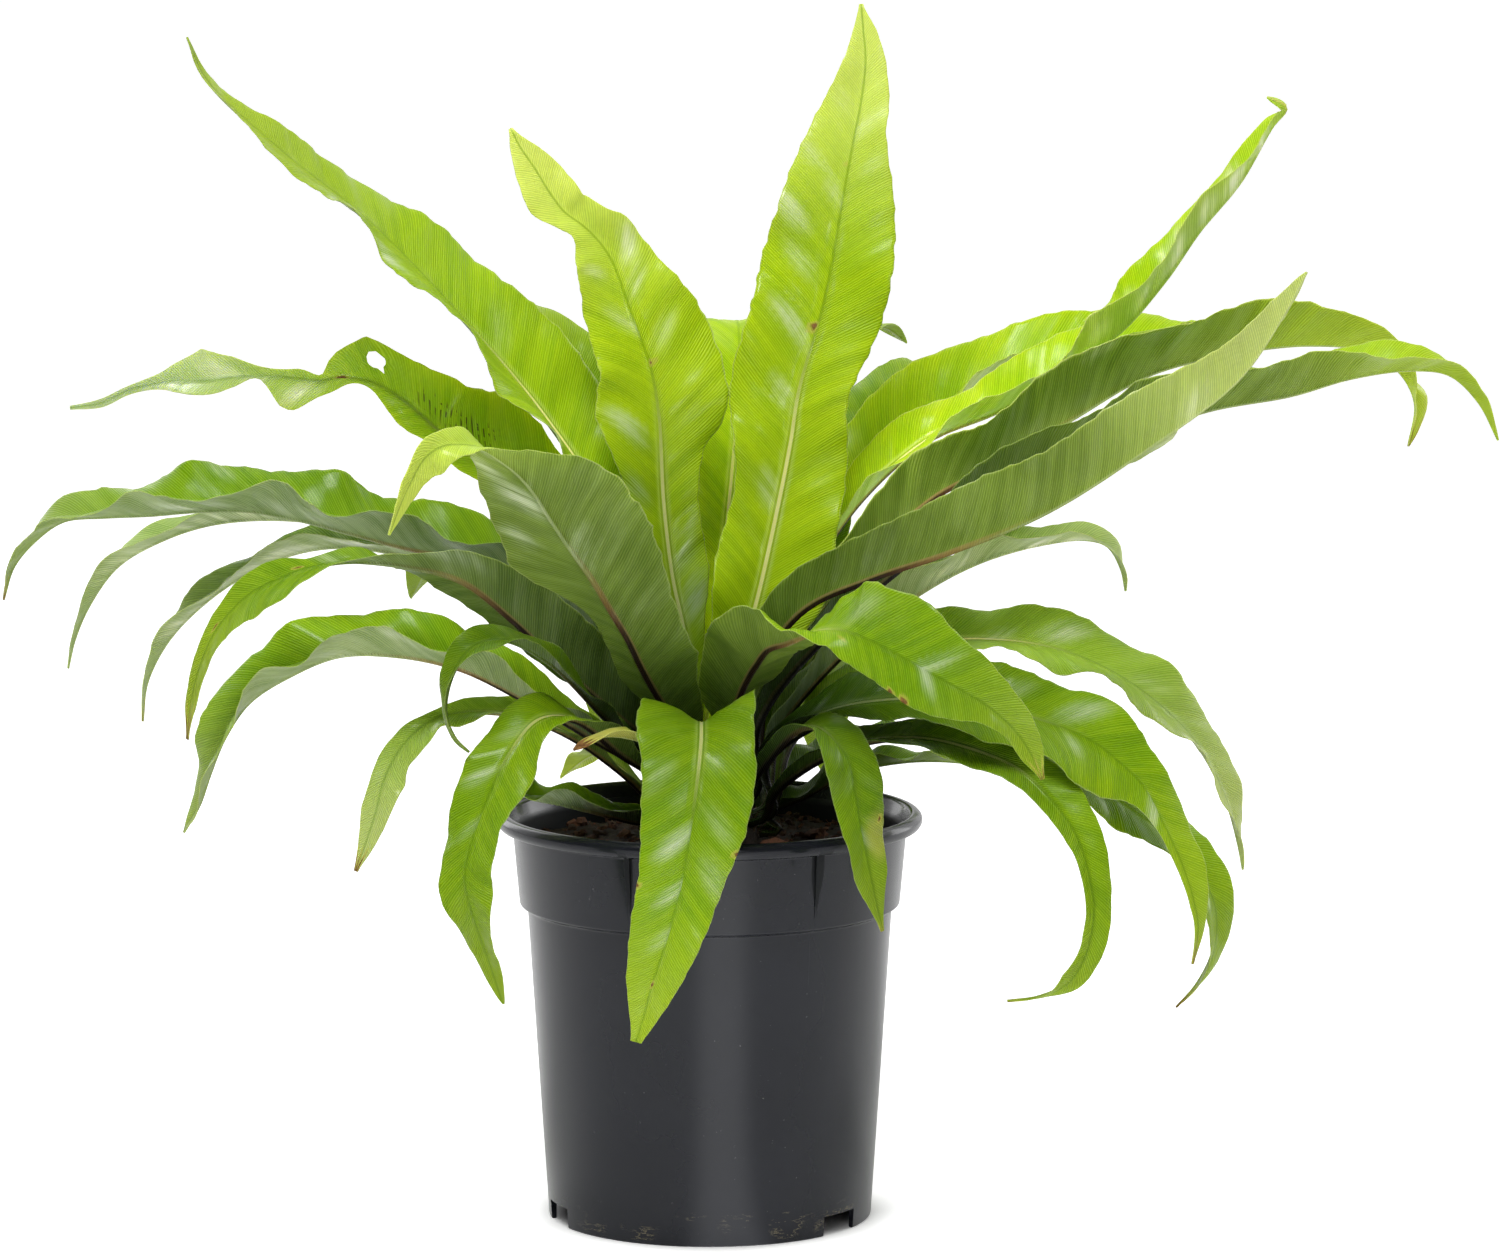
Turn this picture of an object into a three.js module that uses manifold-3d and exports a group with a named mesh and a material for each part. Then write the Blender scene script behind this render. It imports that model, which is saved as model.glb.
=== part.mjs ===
import * as THREE from "three";
import { mergeVertices } from "three/addons/utils/BufferGeometryUtils.js";
import Module from "manifold-3d";

// A potted bird's nest fern: every frond, the crown, the soil and the pot are solids of their own.
// Millimetres, Z up. The pot stands on the plane z = 0 and the viewer looks along +Y.

// Pot
const POT_HEIGHT = 183;
const LIP_RADIUS = 95;
const LIP_HEIGHT = 7;
const BASE_RADIUS = 72.4;
const LEDGE_HEIGHT = 140;
const LEDGE_RADIUS = 81.5;
const BAND_RADIUS = 85;
const WALL = 2.2;
const FLOOR_HEIGHT = 10;
const FLOOR_THICKNESS = 2.5;
const POT_SIDES = 48;
const NOTCH_ANGLES = [-159, -37, 83];
const NOTCH_WIDTH = 22;
const NOTCH_HEIGHT = 9;
const DRAIN_LENGTH = 16;
const DRAIN_WIDTH = 8;
const LUG_ANGLES = [-113.5, -57];
const LUG_WIDTHS = [2.2, 3.6];
const LUG_HEIGHT = 30;

// Soil and crown
const SOIL_LEVEL = 168;
const SOIL_SIDES = 40;
const PIT_DEPTH = 10;
const GAP = 0.4;
const CROWN_RADIUS = 22;
const CROWN_CENTRE = 170;
const CROWN_SIDES = 24;

// Fronds
const STALK_GAP = 0.3;
const STALK_HALF_WIDTH = 2.1;
const STALK_RUN = 9;
const TIP_HALF_WIDTH = 0.9;
const BLADE_THICKNESS = 0.9;
const RIB_THICKNESS_BASE = 3.6;
const RIB_THICKNESS_TIP = 1.5;
const RIB_HALF_WIDTH = 1.9;
const SEGMENT_LENGTH = 17;

// The whole plant is moved so that the middle of its outline stands over the origin.
const PLANT_SHIFT = [-17.5, -62];

// Each frond's root is an azimuth and a rise on the crown; a station is x, y, z, fold and roll.
const FRONDS = [
  {
    "name": "tall_centre", "root": [80, 86], "heading": 90, "half": 30, "peak": 0.58, "point": 0.85,
    "wave": [6, 4, 0], "tone": "#8fb51e",
    "spine": [
      [8, 6, 236, 62, 0, 9, 9], [16, 8, 259, 66, 0, 20, 17], [22, 10, 280, 70, 0, 30, 23.5],
      [31, 18, 320, 80, 0, 29, 21], [36, 23, 345, 82, 0, 26, 26.5], [40, 28, 369, 84, 0, 23, 31],
      [50, 36, 403, 84, 0, 27, 31.5], [55, 41, 426, 84, 0, 28, 31], [60, 47, 455, 83, 0, 23, 27],
      [65, 54, 481, 80, 0, 15, 20.5], [68, 60, 496, 80, 0, 13, 16], [70, 65, 514, 78, 0, 9, 10.5],
      [69, 68, 527, 76, 0, 6, 5], [68, 70, 539, 75, 0, 1, 1],
    ],
  },
  {
    "name": "left_centre", "root": [125, 68], "heading": 105, "half": 31, "peak": 0.58, "point": 0.85,
    "wave": [7, 3.5, 1], "tone": "#8fb51e",
    "spine": [
      [-8, 9, 240, 60, -8, 6, 7], [-12, 11, 263, 66, -8, 10, 11], [-17, 15, 286, 70, -8, 17, 15],
      [-21, 22, 320, 76, -6, 16, 18], [-22, 26, 342, 80, -4, 20, 27], [-23, 30, 357, 82, -4, 31, 30],
      [-27, 36, 379, 84, -2, 33, 26], [-35, 40, 401, 84, 0, 29, 22], [-44, 44, 425, 78, 0, 18, 20],
      [-50, 44, 434, 68, 0, 17, 17], [-57, 43, 441, 62, -5, 13, 9], [-65, 42, 447, 66, -5, 12, 10],
      [-71, 41, 455, 74, 0, 12, 14], [-79, 40, 468, 76, 0, 9, 10], [-85, 39, 477, 76, 0, 5, 5],
      [-89, 38, 485, 75, 0, 1, 1],
    ],
  },
  {
    "name": "high_left", "root": [176, 66], "heading": 180, "half": 31, "peak": 0.46, "point": 1.3,
    "wave": [6, 5, 0], "tone": "#7c9f28",
    "spine": [
      [-22, 21, 246, 50, 20], [-45, 36, 309, 55, 37], [-74, 44, 354, 57, 37], [-108, 48, 395, 62, 30],
      [-153, 50, 442, 77, 17], [-193, 46, 475, 77, 17], [-225, 38, 507, 75, 17], [-232, 28, 526, 75, 20],
    ],
  },
  {
    "name": "torn_left", "root": [160, 47], "heading": 178, "half": 23, "peak": 0.58, "point": 0.85,
    "wave": [6, 5, 2], "tone": "#6f8a34",
    "spine": [
      [-19, 30, 233, 50, 10, 7, 7], [-39, 50, 280, 60, 30, 14, 12], [-57, 60, 304, 65, 40, 20, 12],
      [-75, 67, 317, 70, 50, 18, 12], [-93, 72, 327, 75, 60, 27.5, 12], [-109, 76, 335, 75, 65, 31, 12],
      [-123, 79, 344, 75, 70, 26, 8], [-133, 81, 353, 75, 72, 22, 10.5], [-142, 82, 360, 78, 75, 18.5, 8],
      [-152, 83, 366, 80, 75, 17.5, 4], [-161, 84, 368, 80, 75, 20, 2], [-169, 85, 369, 80, 75, 12, 6],
      [-177, 86, 367, 80, 80, 3, 7], [-187, 86, 368, 80, 80, 4.5, 14], [-196, 86, 369, 80, 80, 3.5, 13],
      [-206, 86, 369, 80, 80, 5, 1], [-218, 86, 369, 80, 80, 9.5, 5], [-231, 86, 367, 80, 80, 14.5, 7],
      [-242, 86, 367, 80, 80, 9, 6], [-252, 86, 366, 80, 80, 4, 3], [-265, 85, 363, 80, 80, 2, 2],
      [-278, 84, 357, 80, 80, 2, 2], [-292, 83, 355, 80, 80, 1, 1],
    ],
  },
  {
    "name": "behind_left", "root": [132, 47], "heading": 130, "half": 21, "peak": 0.58, "point": 0.85,
    "wave": [5, 4, 0], "tone": "#6f9424",
    "spine": [
      [-11, 46, 230, 60, 0], [-28, 88, 284, 65, 0], [-51, 112, 342, 70, 0], [-65, 124, 377, 75, 0],
      [-79, 132, 393, 80, 0], [-96, 142, 399, 80, 0],
    ],
  },
  {
    "name": "behind_mid", "root": [93, 47], "heading": 90, "half": 17, "peak": 0.58, "point": 0.85,
    "wave": [5, 4, 0], "tone": "#6f9424",
    "spine": [
      [1, 34, 228, 60, 0], [6, 66, 287, 65, 0], [11, 90, 340, 75, 0], [13, 110, 379, 80, 0],
      [12, 134, 390, 85, 0], [8, 168, 376, 85, 0], [5, 200, 347, 85, 0],
    ],
  },
  {
    "name": "behind_right", "root": [60, 47], "heading": 60, "half": 21, "peak": 0.58, "point": 0.85,
    "wave": [5, 4, 1], "tone": "#6f9424",
    "spine": [
      [16, 46, 226, 60, 0], [41, 86, 280, 65, 0], [64, 118, 330, 70, 0], [83, 142, 358, 80, 0],
      [105, 168, 365, 85, 0], [122, 195, 350, 85, 0],
    ],
  },
  {
    "name": "back_tip", "root": [72, 25], "heading": 68, "half": 19, "peak": 0.58, "point": 0.85,
    "wave": [5, 4, 1], "tone": "#6f9424",
    "spine": [
      [11, 60, 228, 60, 0], [25, 124, 299, 65, 0], [49, 176, 354, 75, 0], [65, 208, 377, 80, 0],
      [81, 228, 379, 80, 0], [93, 242, 370, 80, 0],
    ],
  },
  {
    "name": "bright_right", "root": [40, 47], "heading": 15, "half": 28, "peak": 0.58, "point": 0.85,
    "wave": [5, 5, 0], "tone": "#86ae1e",
    "spine": [
      [23, 36, 232, 50, -10], [54, 74, 295, 48, -12], [87, 98, 336, 48, -14], [115, 110, 355, 48, -14],
      [151, 114, 368, 50, -14], [193, 114, 375, 52, -10], [239, 114, 380, 55, 0], [275, 112, 387, 60, 0],
      [294, 112, 392, 70, 0], [301, 112, 386, 75, 0],
    ],
  },
  {
    "name": "long_right", "root": [14, 47], "heading": 0, "half": 28, "peak": 0.58, "point": 0.85,
    "wave": [5, 5, 1], "tone": "#7c9f28",
    "spine": [
      [25, 8, 231, 50, 10], [67, 18, 289, 50, 20], [99, 28, 319, 50, 22], [130, 36, 335, 50, 20],
      [164, 42, 355, 48, 18], [198, 46, 374, 48, 10], [234, 48, 383, 50, 15], [270, 48, 387, 55, 30],
      [297, 46, 384, 60, 30], [311, 44, 374, 65, 10], [317, 42, 361, 65, -30], [314, 40, 342, 70, -40],
    ],
  },
  {
    "name": "twisted_right", "root": [20, 68], "heading": 20, "half": 18, "peak": 0.58, "point": 0.85,
    "wave": [6, 5, 0], "tone": "#6f9424",
    "spine": [
      [14, 13, 235, 50, 0], [40, 28, 278, 50, -10], [68, 44, 317, 50, -15], [99, 56, 343, 50, -15],
      [131, 62, 356, 50, -10], [158, 66, 373, 50, 0], [185, 66, 391, 45, 10], [206, 66, 415, 45, 10],
      [221, 65, 437, 45, 10], [239, 64, 459, 45, 10], [253, 62, 484, 50, 10], [259, 58, 493, 60, 40],
      [250, 54, 498, 70, 60],
    ],
  },
  {
    "name": "big_right", "root": [-15, 68], "heading": -10, "half": 26, "peak": 0.58, "point": 0.85,
    "wave": [4, 5, 0], "tone": "#7fa81c",
    "spine": [
      [16, -14, 235, 50, 20], [40, -34, 276, 50, 30], [71, -48, 293, 50, 37], [105, -58, 306, 50, 37],
      [148, -64, 325, 50, 37], [191, -66, 353, 50, 37], [230, -66, 383, 52, 36], [251, -64, 414, 55, 34],
      [259, -62, 429, 58, 30],
    ],
  },
  {
    "name": "long_right_low", "root": [-8, 47], "heading": 0, "half": 26, "peak": 0.58, "point": 0.85,
    "wave": [6, 5, 2], "tone": "#6f9424",
    "spine": [
      [22, -10, 224, 50, 10], [62, -10, 273, 50, 15], [107, -2, 308, 52, 18], [151, 4, 333, 52, 18],
      [187, 6, 350, 52, 15], [222, 6, 362, 52, 12], [258, 2, 369, 52, 10], [284, -2, 377, 52, 0],
      [310, -6, 381, 55, 0], [327, -8, 379, 60, 0], [340, -8, 367, 65, 0], [349, -8, 350, 70, 0],
    ],
  },
  {
    "name": "gray_right", "root": [28, 25], "heading": 15, "half": 18, "peak": 0.48, "point": 0.85,
    "wave": [6, 4, 0], "tone": "#76865a",
    "spine": [
      [31, 16, 216, 55, 10], [67, 28, 256, 55, 15], [95, 38, 276, 55, 15], [122, 46, 289, 58, 15],
      [149, 52, 296, 60, 0], [170, 54, 298, 60, -20], [180, 54, 295, 70, -20], [186, 52, 285, 70, -10],
      [188, 50, 275, 70, 0],
    ],
  },
  {
    "name": "pale_droop", "root": [10, 25], "heading": 3, "half": 22, "peak": 0.58, "point": 0.85,
    "wave": [6, 4, 1], "tone": "#6f9424",
    "spine": [
      [36, 10, 211, 60, -10], [72, 22, 242, 65, -15], [101, 28, 254, 70, -20], [131, 30, 255, 72, -25],
      [157, 28, 251, 74, -28], [180, 24, 242, 74, -28], [202, 20, 227, 74, -28], [220, 15, 208, 74, -25],
      [232, 10, 184, 72, -20], [237, 7, 166, 70, -10], [239, 5, 155, 70, 0],
    ],
  },
  {
    "name": "front_broken", "root": [-60, 66], "heading": -50, "half": 29, "peak": 0.55, "point": 0.85,
    "wave": [7, 2.5, 0], "tone": "#6f9424",
    "spine": [
      [10, -22, 220, 55, 10, 7, 7], [13, -38, 238, 66, 18, 18, 12], [17, -48, 249, 70, 24, 22, 14],
      [21, -58, 257, 72, 28, 26, 15], [26, -70, 265, 70, 32, 26, 15], [35, -84, 270, 66, 24, 22, 14],
      [45, -97, 276, 66, -10, 15, 14], [56, -108, 279, 74, -50, 11, 17], [64, -116, 278, 80, -75, 13, 24],
      [73, -123, 275, 84, -80, 15, 26], [84, -130, 270, 86, -75, 16, 26], [96, -137, 264, 88, -70, 17, 21],
      [108, -143, 258, 88, -68, 14, 18], [120, -147, 251, 85, -62, 8, 13], [130, -149, 242, 82, -55, 5, 10],
      [137, -150, 232, 80, -50, 5, 6], [142, -151, 221, 75, -50, 1, 1],
    ],
  },
  {
    "name": "droop_bright", "root": [-35, 47], "heading": -18, "half": 24, "peak": 0.58, "point": 0.85,
    "wave": [5, 3, 0], "tone": "#7fa81c",
    "spine": [
      [27, -34, 218, 60, -10, 6, 7], [53, -52, 235, 65, -20, 14, 15], [83, -64, 242, 75, -30, 21, 21],
      [114, -72, 242, 80, -35, 22, 22], [144, -76, 235, 85, -38, 19, 22], [166, -77, 226, 86, -40, 25, 23],
      [178, -78, 217, 87, -40, 21, 18], [189, -78, 206, 88, -40, 11, 14], [196, -78, 193, 88, -38, 5.5, 14],
      [202, -79, 181, 88, -38, 4, 12], [207, -79, 169, 86, -36, 3, 11], [211, -80, 156, 82, -32, 2.5, 8],
      [213, -80, 144, 80, -30, 2, 4], [211, -79, 128, 75, -20, 1, 1],
    ],
  },
  {
    "name": "droop_behind", "root": [-10, 24], "heading": -8, "half": 18, "peak": 0.6, "point": 1,
    "wave": [5, 3, 2], "tone": "#6f9424",
    "spine": [
      [25, -10, 205, 60, 0], [49, -18, 225, 65, -5], [75, -26, 234, 70, -15], [106, -34, 231, 75, -25],
      [137, -40, 220, 80, -30], [163, -44, 206, 80, -30], [185, -45, 192, 80, -30], [203, -45, 178, 80, -28],
      [216, -44, 162, 78, -25], [223, -44, 145, 75, -25], [222, -46, 127, 75, -20], [215, -48, 113, 75, -10],
      [206, -50, 103, 75, 0],
    ],
  },
  {
    "name": "droop_front", "root": [-32, 23], "heading": -28, "half": 18, "peak": 0.62, "point": 0.85,
    "wave": [5, 3, 1], "tone": "#6f9424",
    "spine": [
      [30, -32, 197, 60, 0, 4, 5], [49, -46, 213, 65, 0, 9, 9], [71, -58, 223, 70, -10, 13, 13],
      [96, -68, 225, 75, -25, 14, 14], [120, -77, 220, 79, -30, 10, 13], [135, -84, 214, 80, -33, 10, 14],
      [147, -93, 204, 80, -35, 8, 14], [156, -100, 193, 80, -36, 6.5, 12], [161, -104, 183, 80, -38, 4.5, 11],
      [164, -107, 172, 80, -38, 4, 10], [166, -110, 159, 80, -38, 4.5, 8.5], [165, -111, 148, 80, -38, 4, 8],
      [162, -112, 137, 80, -36, 4, 7], [155, -112, 126, 78, -30, 6, 6], [143, -112, 120, 75, -10, 2.5, 2.5],
      [129, -112, 118, 75, 0, 1, 1],
    ],
  },
  {
    "name": "small_front_right", "root": [-58, 25], "heading": -55, "half": 12, "peak": 0.58, "point": 0.85,
    "wave": [5, 2, 0], "tone": "#6f9424",
    "spine": [
      [18, -46, 200, 60, 0, 4, 4], [31, -70, 222, 62, 0, 6.5, 7], [41, -86, 233, 64, 0, 5.5, 10],
      [48, -96, 234, 68, 0, 4.5, 12], [54, -103, 230, 74, 0, 12, 15], [60, -108, 222, 80, 0, 16, 13.5],
      [63, -110, 207, 86, 0, 11, 14], [66, -110, 191, 86, 0, 10.5, 12], [70, -110, 171, 84, 0, 8, 7.5],
      [75, -109, 148, 78, 0, 1, 1],
    ],
  },
  {
    "name": "front_hanging", "root": [-92, 45], "heading": -92, "half": 25, "peak": 0.5, "point": 0.85,
    "wave": [4, 2.5, 0], "tone": "#7fa81c",
    "spine": [
      [0, -44, 204, 52, 0, 8, 8], [-2, -64, 222, 55, 0, 16.5, 17], [-3, -86, 235, 62, 0, 27, 27],
      [-3, -108, 230, 72, 0, 29, 23.5], [-4, -119, 220, 82, 0, 25, 25], [-7, -125, 198, 86, 0, 22, 24],
      [-11, -127, 174, 86, 0, 19, 18], [-17, -128, 150, 84, 0, 17, 15], [-24, -128, 128, 82, 0, 11.5, 11],
      [-28, -127, 113, 80, 0, 6, 6], [-31, -127, 103, 80, 0, 2.5, 2.5],
    ],
  },
  {
    "name": "yellow_small", "root": [-110, 22], "heading": -130, "half": 11, "peak": 0.58, "point": 0.85,
    "wave": [4, 3, 0], "tone": "#a5b830",
    "spine": [
      [-11, -44, 200, 60, 0], [-19, -70, 218, 62, 0], [-30, -87, 228, 70, 0], [-45, -95, 231, 80, 0],
      [-58, -102, 226, 80, 0],
    ],
  },
  {
    "name": "left_front", "root": [-128, 25], "heading": -128, "half": 15.5, "peak": 0.58, "point": 0.85,
    "wave": [5, 4, 0], "tone": "#7fa81c",
    "spine": [
      [-20, -30, 199, 60, 0], [-39, -50, 216, 62, 0], [-58, -70, 234, 68, 10], [-74, -86, 236, 75, 15],
      [-86, -99, 223, 80, 15], [-94, -108, 207, 84, 10], [-101, -116, 189, 86, 5], [-104, -119, 172, 86, 0],
      [-100, -120, 155, 84, 0], [-94, -120, 137, 80, 0], [-88, -119, 118, 78, 0],
    ],
  },
  {
    "name": "low_left", "root": [-160, 4], "heading": 180, "half": 13, "peak": 0.5, "point": 0.85,
    "wave": [4, 3, 0], "tone": "#5f6a38",
    "spine": [
      [-19, -14, 178, 60, 0], [-35, -30, 183, 60, 0], [-50, -42, 189, 60, 0], [-65, -50, 194, 60, 0],
      [-81, -55, 199, 60, 10], [-87, -60, 210, 60, 20], [-83, -64, 222, 70, 20], [-74, -66, 230, 75, 10],
    ],
  },
  {
    "name": "loop", "root": [-149, 30], "heading": -160, "half": 9, "peak": 0.58, "point": 0.85,
    "wave": [4, 3, 0], "tone": "#6f9424",
    "spine": [
      [-26, -24, 206, 60, 0], [-48, -46, 234, 60, 10], [-69, -70, 259, 60, 20], [-88, -84, 271, 60, 20],
      [-102, -94, 269, 65, 20], [-110, -98, 258, 70, 10], [-113, -100, 242, 75, 0], [-109, -101, 231, 75, 0],
      [-103, -102, 225, 75, 0],
    ],
  },
  {
    "name": "low_small_left", "root": [166, 6], "heading": 176, "half": 13.5, "peak": 0.58, "point": 0.85,
    "wave": [5, 3, 0], "tone": "#93a850",
    "spine": [
      [-27, 10, 184, 60, 0, 4, 4], [-51, 6, 208, 60, 0, 8, 8], [-76, -4, 223, 62, 10, 10, 10],
      [-97, -14, 229, 65, 20, 10, 10], [-119, -22, 228, 70, 35, 4.5, 11], [-131, -27, 221, 75, 52, 6.5, 14],
      [-139, -30, 211, 78, 65, 7, 9], [-144, -33, 200, 80, 72, 6, 9.5], [-147, -36, 188, 80, 75, 7, 8],
      [-151, -38, 176, 80, 75, 4, 5], [-156, -39, 162, 76, 70, 1, 1],
    ],
  },
  {
    "name": "left_mid", "root": [-169, 20], "heading": 180, "half": 23, "peak": 0.58, "point": 0.85,
    "wave": [6, 5, 0], "tone": "#6f9424",
    "spine": [
      [-24, -9, 197, 55, 0], [-53, -14, 218, 52, 5], [-84, -21, 237, 50, 8], [-110, -30, 251, 48, 10],
      [-136, -32, 257, 48, 10], [-163, -32, 257, 50, 10], [-185, -32, 248, 55, 15], [-203, -31, 236, 60, 20],
      [-214, -30, 220, 65, 20], [-221, -28, 203, 68, 20], [-226, -26, 189, 70, 20], [-233, -25, 177, 70, 10],
    ],
  },
  {
    "name": "left_dark", "root": [-156, 50], "heading": -172, "half": 27, "peak": 0.58, "point": 0.85,
    "wave": [5, 3, 1], "tone": "#5b7028",
    "spine": [
      [-18, -10, 207, 50, -15, 6, 7], [-40, -22, 228, 50, -25, 14, 18], [-64, -34, 251, 62, -45, 14, 24],
      [-86, -44, 274, 72, -58, 14, 22.5], [-109, -52, 293, 74, -58, 11, 14.5], [-135, -56, 300, 70, -35, 11, 8],
      [-156, -57, 302, 66, 15, 9, 8], [-174, -56, 299, 75, 30, 6, 13], [-187, -54, 294, 78, 33, 11, 16],
      [-199, -52, 288, 78, 35, 9.5, 15.5], [-209, -51, 279, 78, 35, 7.5, 13], [-217, -50, 268, 78, 35, 6, 10],
      [-223, -49, 254, 78, 33, 5, 6.5], [-227, -47, 238, 75, 30, 3.5, 5], [-229, -46, 222, 75, 20, 1, 1],
    ],
  },
  {
    "name": "left_thin", "root": [173, 27], "heading": 178, "half": 16, "peak": 0.58, "point": 0.85,
    "wave": [5, 4, 0], "tone": "#6f9424",
    "spine": [
      [-24, 2, 204, 55, 0], [-49, 6, 234, 55, 0], [-76, 11, 261, 55, 0], [-107, 15, 286, 55, 0],
      [-138, 16, 296, 55, 5], [-165, 13, 300, 58, 5], [-188, 15, 296, 60, 5], [-210, 12, 286, 65, 5],
      [-228, 8, 273, 65, 5], [-242, 4, 258, 65, 0], [-251, 2, 240, 70, 0], [-253, 0, 223, 70, 0],
    ],
  },
  {
    "name": "left_pale", "root": [152, 30], "heading": 172, "half": 15, "peak": 0.58, "point": 0.85,
    "wave": [5, 4, 0], "tone": "#6f9424",
    "spine": [
      [-29, 22, 209, 50, 0], [-59, 36, 251, 50, 0], [-95, 42, 279, 50, 0], [-131, 44, 298, 50, 0],
      [-167, 44, 306, 55, 0], [-198, 42, 309, 58, 0], [-225, 38, 307, 60, 0], [-247, 34, 300, 62, 0],
      [-266, 30, 289, 65, 0], [-278, 26, 273, 68, 0], [-285, 22, 257, 70, 0], [-288, 20, 244, 70, 0],
    ],
  },
  {
    "name": "left_long", "root": [-179, 50], "heading": 180, "half": 28, "peak": 0.58, "point": 0.85,
    "wave": [7, 6, 0], "tone": "#6f9424",
    "spine": [
      [-20, -2, 222, 52, 0], [-49, -4, 258, 52, 0], [-75, -6, 283, 52, 5], [-102, -8, 296, 50, 8],
      [-133, -10, 302, 50, 8], [-159, -11, 309, 52, 8], [-181, -12, 315, 55, 8], [-203, -12, 319, 55, 8],
      [-225, -12, 319, 58, 8], [-248, -11, 317, 60, 8], [-268, -10, 316, 65, 5], [-286, -8, 314, 70, 5],
      [-299, -6, 305, 75, 5], [-309, -4, 293, 75, 0], [-314, -2, 278, 75, 0],
    ],
  },
  {
    "name": "gray_front_left", "root": [-130, 66], "heading": -100, "half": 31, "peak": 0.5, "point": 0.85,
    "wave": [5, 3, 0], "tone": "#7b8760",
    "spine": [
      [-9, -28, 214, 60, 0, 6, 7], [-18, -44, 233, 70, 5, 12, 16], [-25, -56, 247, 80, 5, 13, 21],
      [-30, -64, 258, 85, 5, 12, 27], [-35, -72, 270, 86, 5, 11.5, 28], [-42, -79, 283, 85, 6, 13, 30],
      [-50, -87, 298, 85, 5, 21.5, 33.5], [-59, -94, 312, 85, 5, 32, 40], [-67, -99, 325, 86, 8, 30, 41],
      [-74, -103, 337, 86, 12, 28, 36], [-81, -107, 346, 84, 16, 26, 27], [-89, -112, 353, 80, 18, 20, 16],
      [-96, -117, 358, 76, 25, 13, 8], [-105, -122, 360, 70, 40, 9, 9], [-113, -127, 360, 74, 55, 7, 9],
      [-120, -131, 356, 80, 70, 8, 11], [-126, -134, 346, 84, 78, 7, 9], [-131, -137, 335, 80, 80, 5, 6],
      [-135, -140, 324, 75, 80, 1, 1],
    ],
  },
  {
    "name": "low_right_a", "root": [30, 8], "heading": 30, "half": 16, "peak": 0.58, "point": 0.85,
    "wave": [6, 3, 0], "tone": "#6f9424",
    "spine": [
      [25, 28, 187, 65, 0], [45, 52, 195, 68, 0], [68, 72, 203, 70, 0], [92, 86, 203, 75, 0],
      [110, 96, 197, 80, 0], [122, 102, 189, 80, 0],
    ],
  },
  {
    "name": "low_right_b", "root": [8, 5], "heading": 5, "half": 13, "peak": 0.58, "point": 0.85,
    "wave": [5, 3, 0], "tone": "#6f9424",
    "spine": [
      [25, 8, 179, 65, 0], [43, 14, 187, 65, 0], [63, 20, 197, 65, 0], [86, 24, 201, 68, 0],
      [104, 27, 201, 70, 0], [120, 30, 199, 75, 0],
    ],
  },
  {
    "name": "pale_back_left", "root": [128, 6], "heading": 132, "half": 15, "peak": 0.58, "point": 0.85,
    "wave": [4, 3, 0], "tone": "#6f9424",
    "spine": [
      [-17, 34, 189, 60, 0], [-30, 60, 197, 65, 0], [-44, 86, 197, 75, 0], [-58, 106, 190, 85, 0],
      [-70, 116, 179, 85, 0],
    ],
  },
  {
    "name": "back_a", "root": [98, 25], "heading": 98, "half": 25, "peak": 0.58, "point": 0.85,
    "wave": [5, 5, 0], "tone": "#6f9424",
    "spine": [
      [-8, 62, 224, 60, 0], [-26, 130, 262, 65, 0], [-40, 200, 262, 75, 0], [-50, 255, 225, 80, 0],
      [-56, 285, 175, 80, 0],
    ],
  },
  {
    "name": "back_b", "root": [75, 8], "heading": 78, "half": 22, "peak": 0.58, "point": 0.85,
    "wave": [5, 4, 1], "tone": "#6f9424",
    "spine": [
      [12, 60, 200, 60, 0], [26, 120, 232, 65, 0], [40, 185, 232, 75, 0], [50, 235, 200, 80, 0],
      [56, 262, 155, 80, 0],
    ],
  },
  {
    "name": "back_left", "root": [134, 25], "heading": 132, "half": 24, "peak": 0.58, "point": 0.85,
    "wave": [5, 4, 0], "tone": "#6f9424",
    "spine": [
      [-36, 52, 224, 60, 0], [-72, 98, 268, 65, 0], [-104, 146, 288, 72, 0], [-128, 186, 278, 80, 0],
      [-144, 216, 250, 80, 0],
    ],
  },
  {
    "name": "back_right", "root": [50, 28], "heading": 50, "half": 23, "peak": 0.58, "point": 0.85,
    "wave": [5, 4, 0], "tone": "#6f9424",
    "spine": [
      [34, 43, 222, 60, 0], [70, 98, 272, 65, 0], [104, 148, 300, 72, 0], [132, 184, 296, 80, 0],
      [148, 204, 276, 80, 0],
    ],
  },
];

const wasm = await Module();
wasm.setup();

const radians = (degrees) => (degrees * Math.PI) / 180;
const clamp = (value) => Math.min(1, Math.max(0, value));

function toSolid(geometry) {
  const bare = geometry.clone();
  bare.deleteAttribute("normal");
  bare.deleteAttribute("uv");
  const welded = mergeVertices(bare, 1e-4);
  return new wasm.Manifold(new wasm.Mesh({
    numProp: 3,
    vertProperties: new Float32Array(welded.attributes.position.array),
    triVerts: new Uint32Array(welded.index.array),
  }));
}

function toGeometry(solid) {
  const mesh = solid.getMesh();
  const geometry = new THREE.BufferGeometry();
  geometry.setAttribute("position", new THREE.Float32BufferAttribute(mesh.vertProperties, 3));
  geometry.setIndex(Array.from(mesh.triVerts));
  return geometry;
}

// A profile of radius and height pairs turned about the upright axis.
function turned(profile, sides) {
  const points = profile.map(([radius, height]) => new THREE.Vector2(radius, height));
  const geometry = new THREE.LatheGeometry(points, sides);
  geometry.rotateX(Math.PI / 2);
  return geometry;
}

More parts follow.
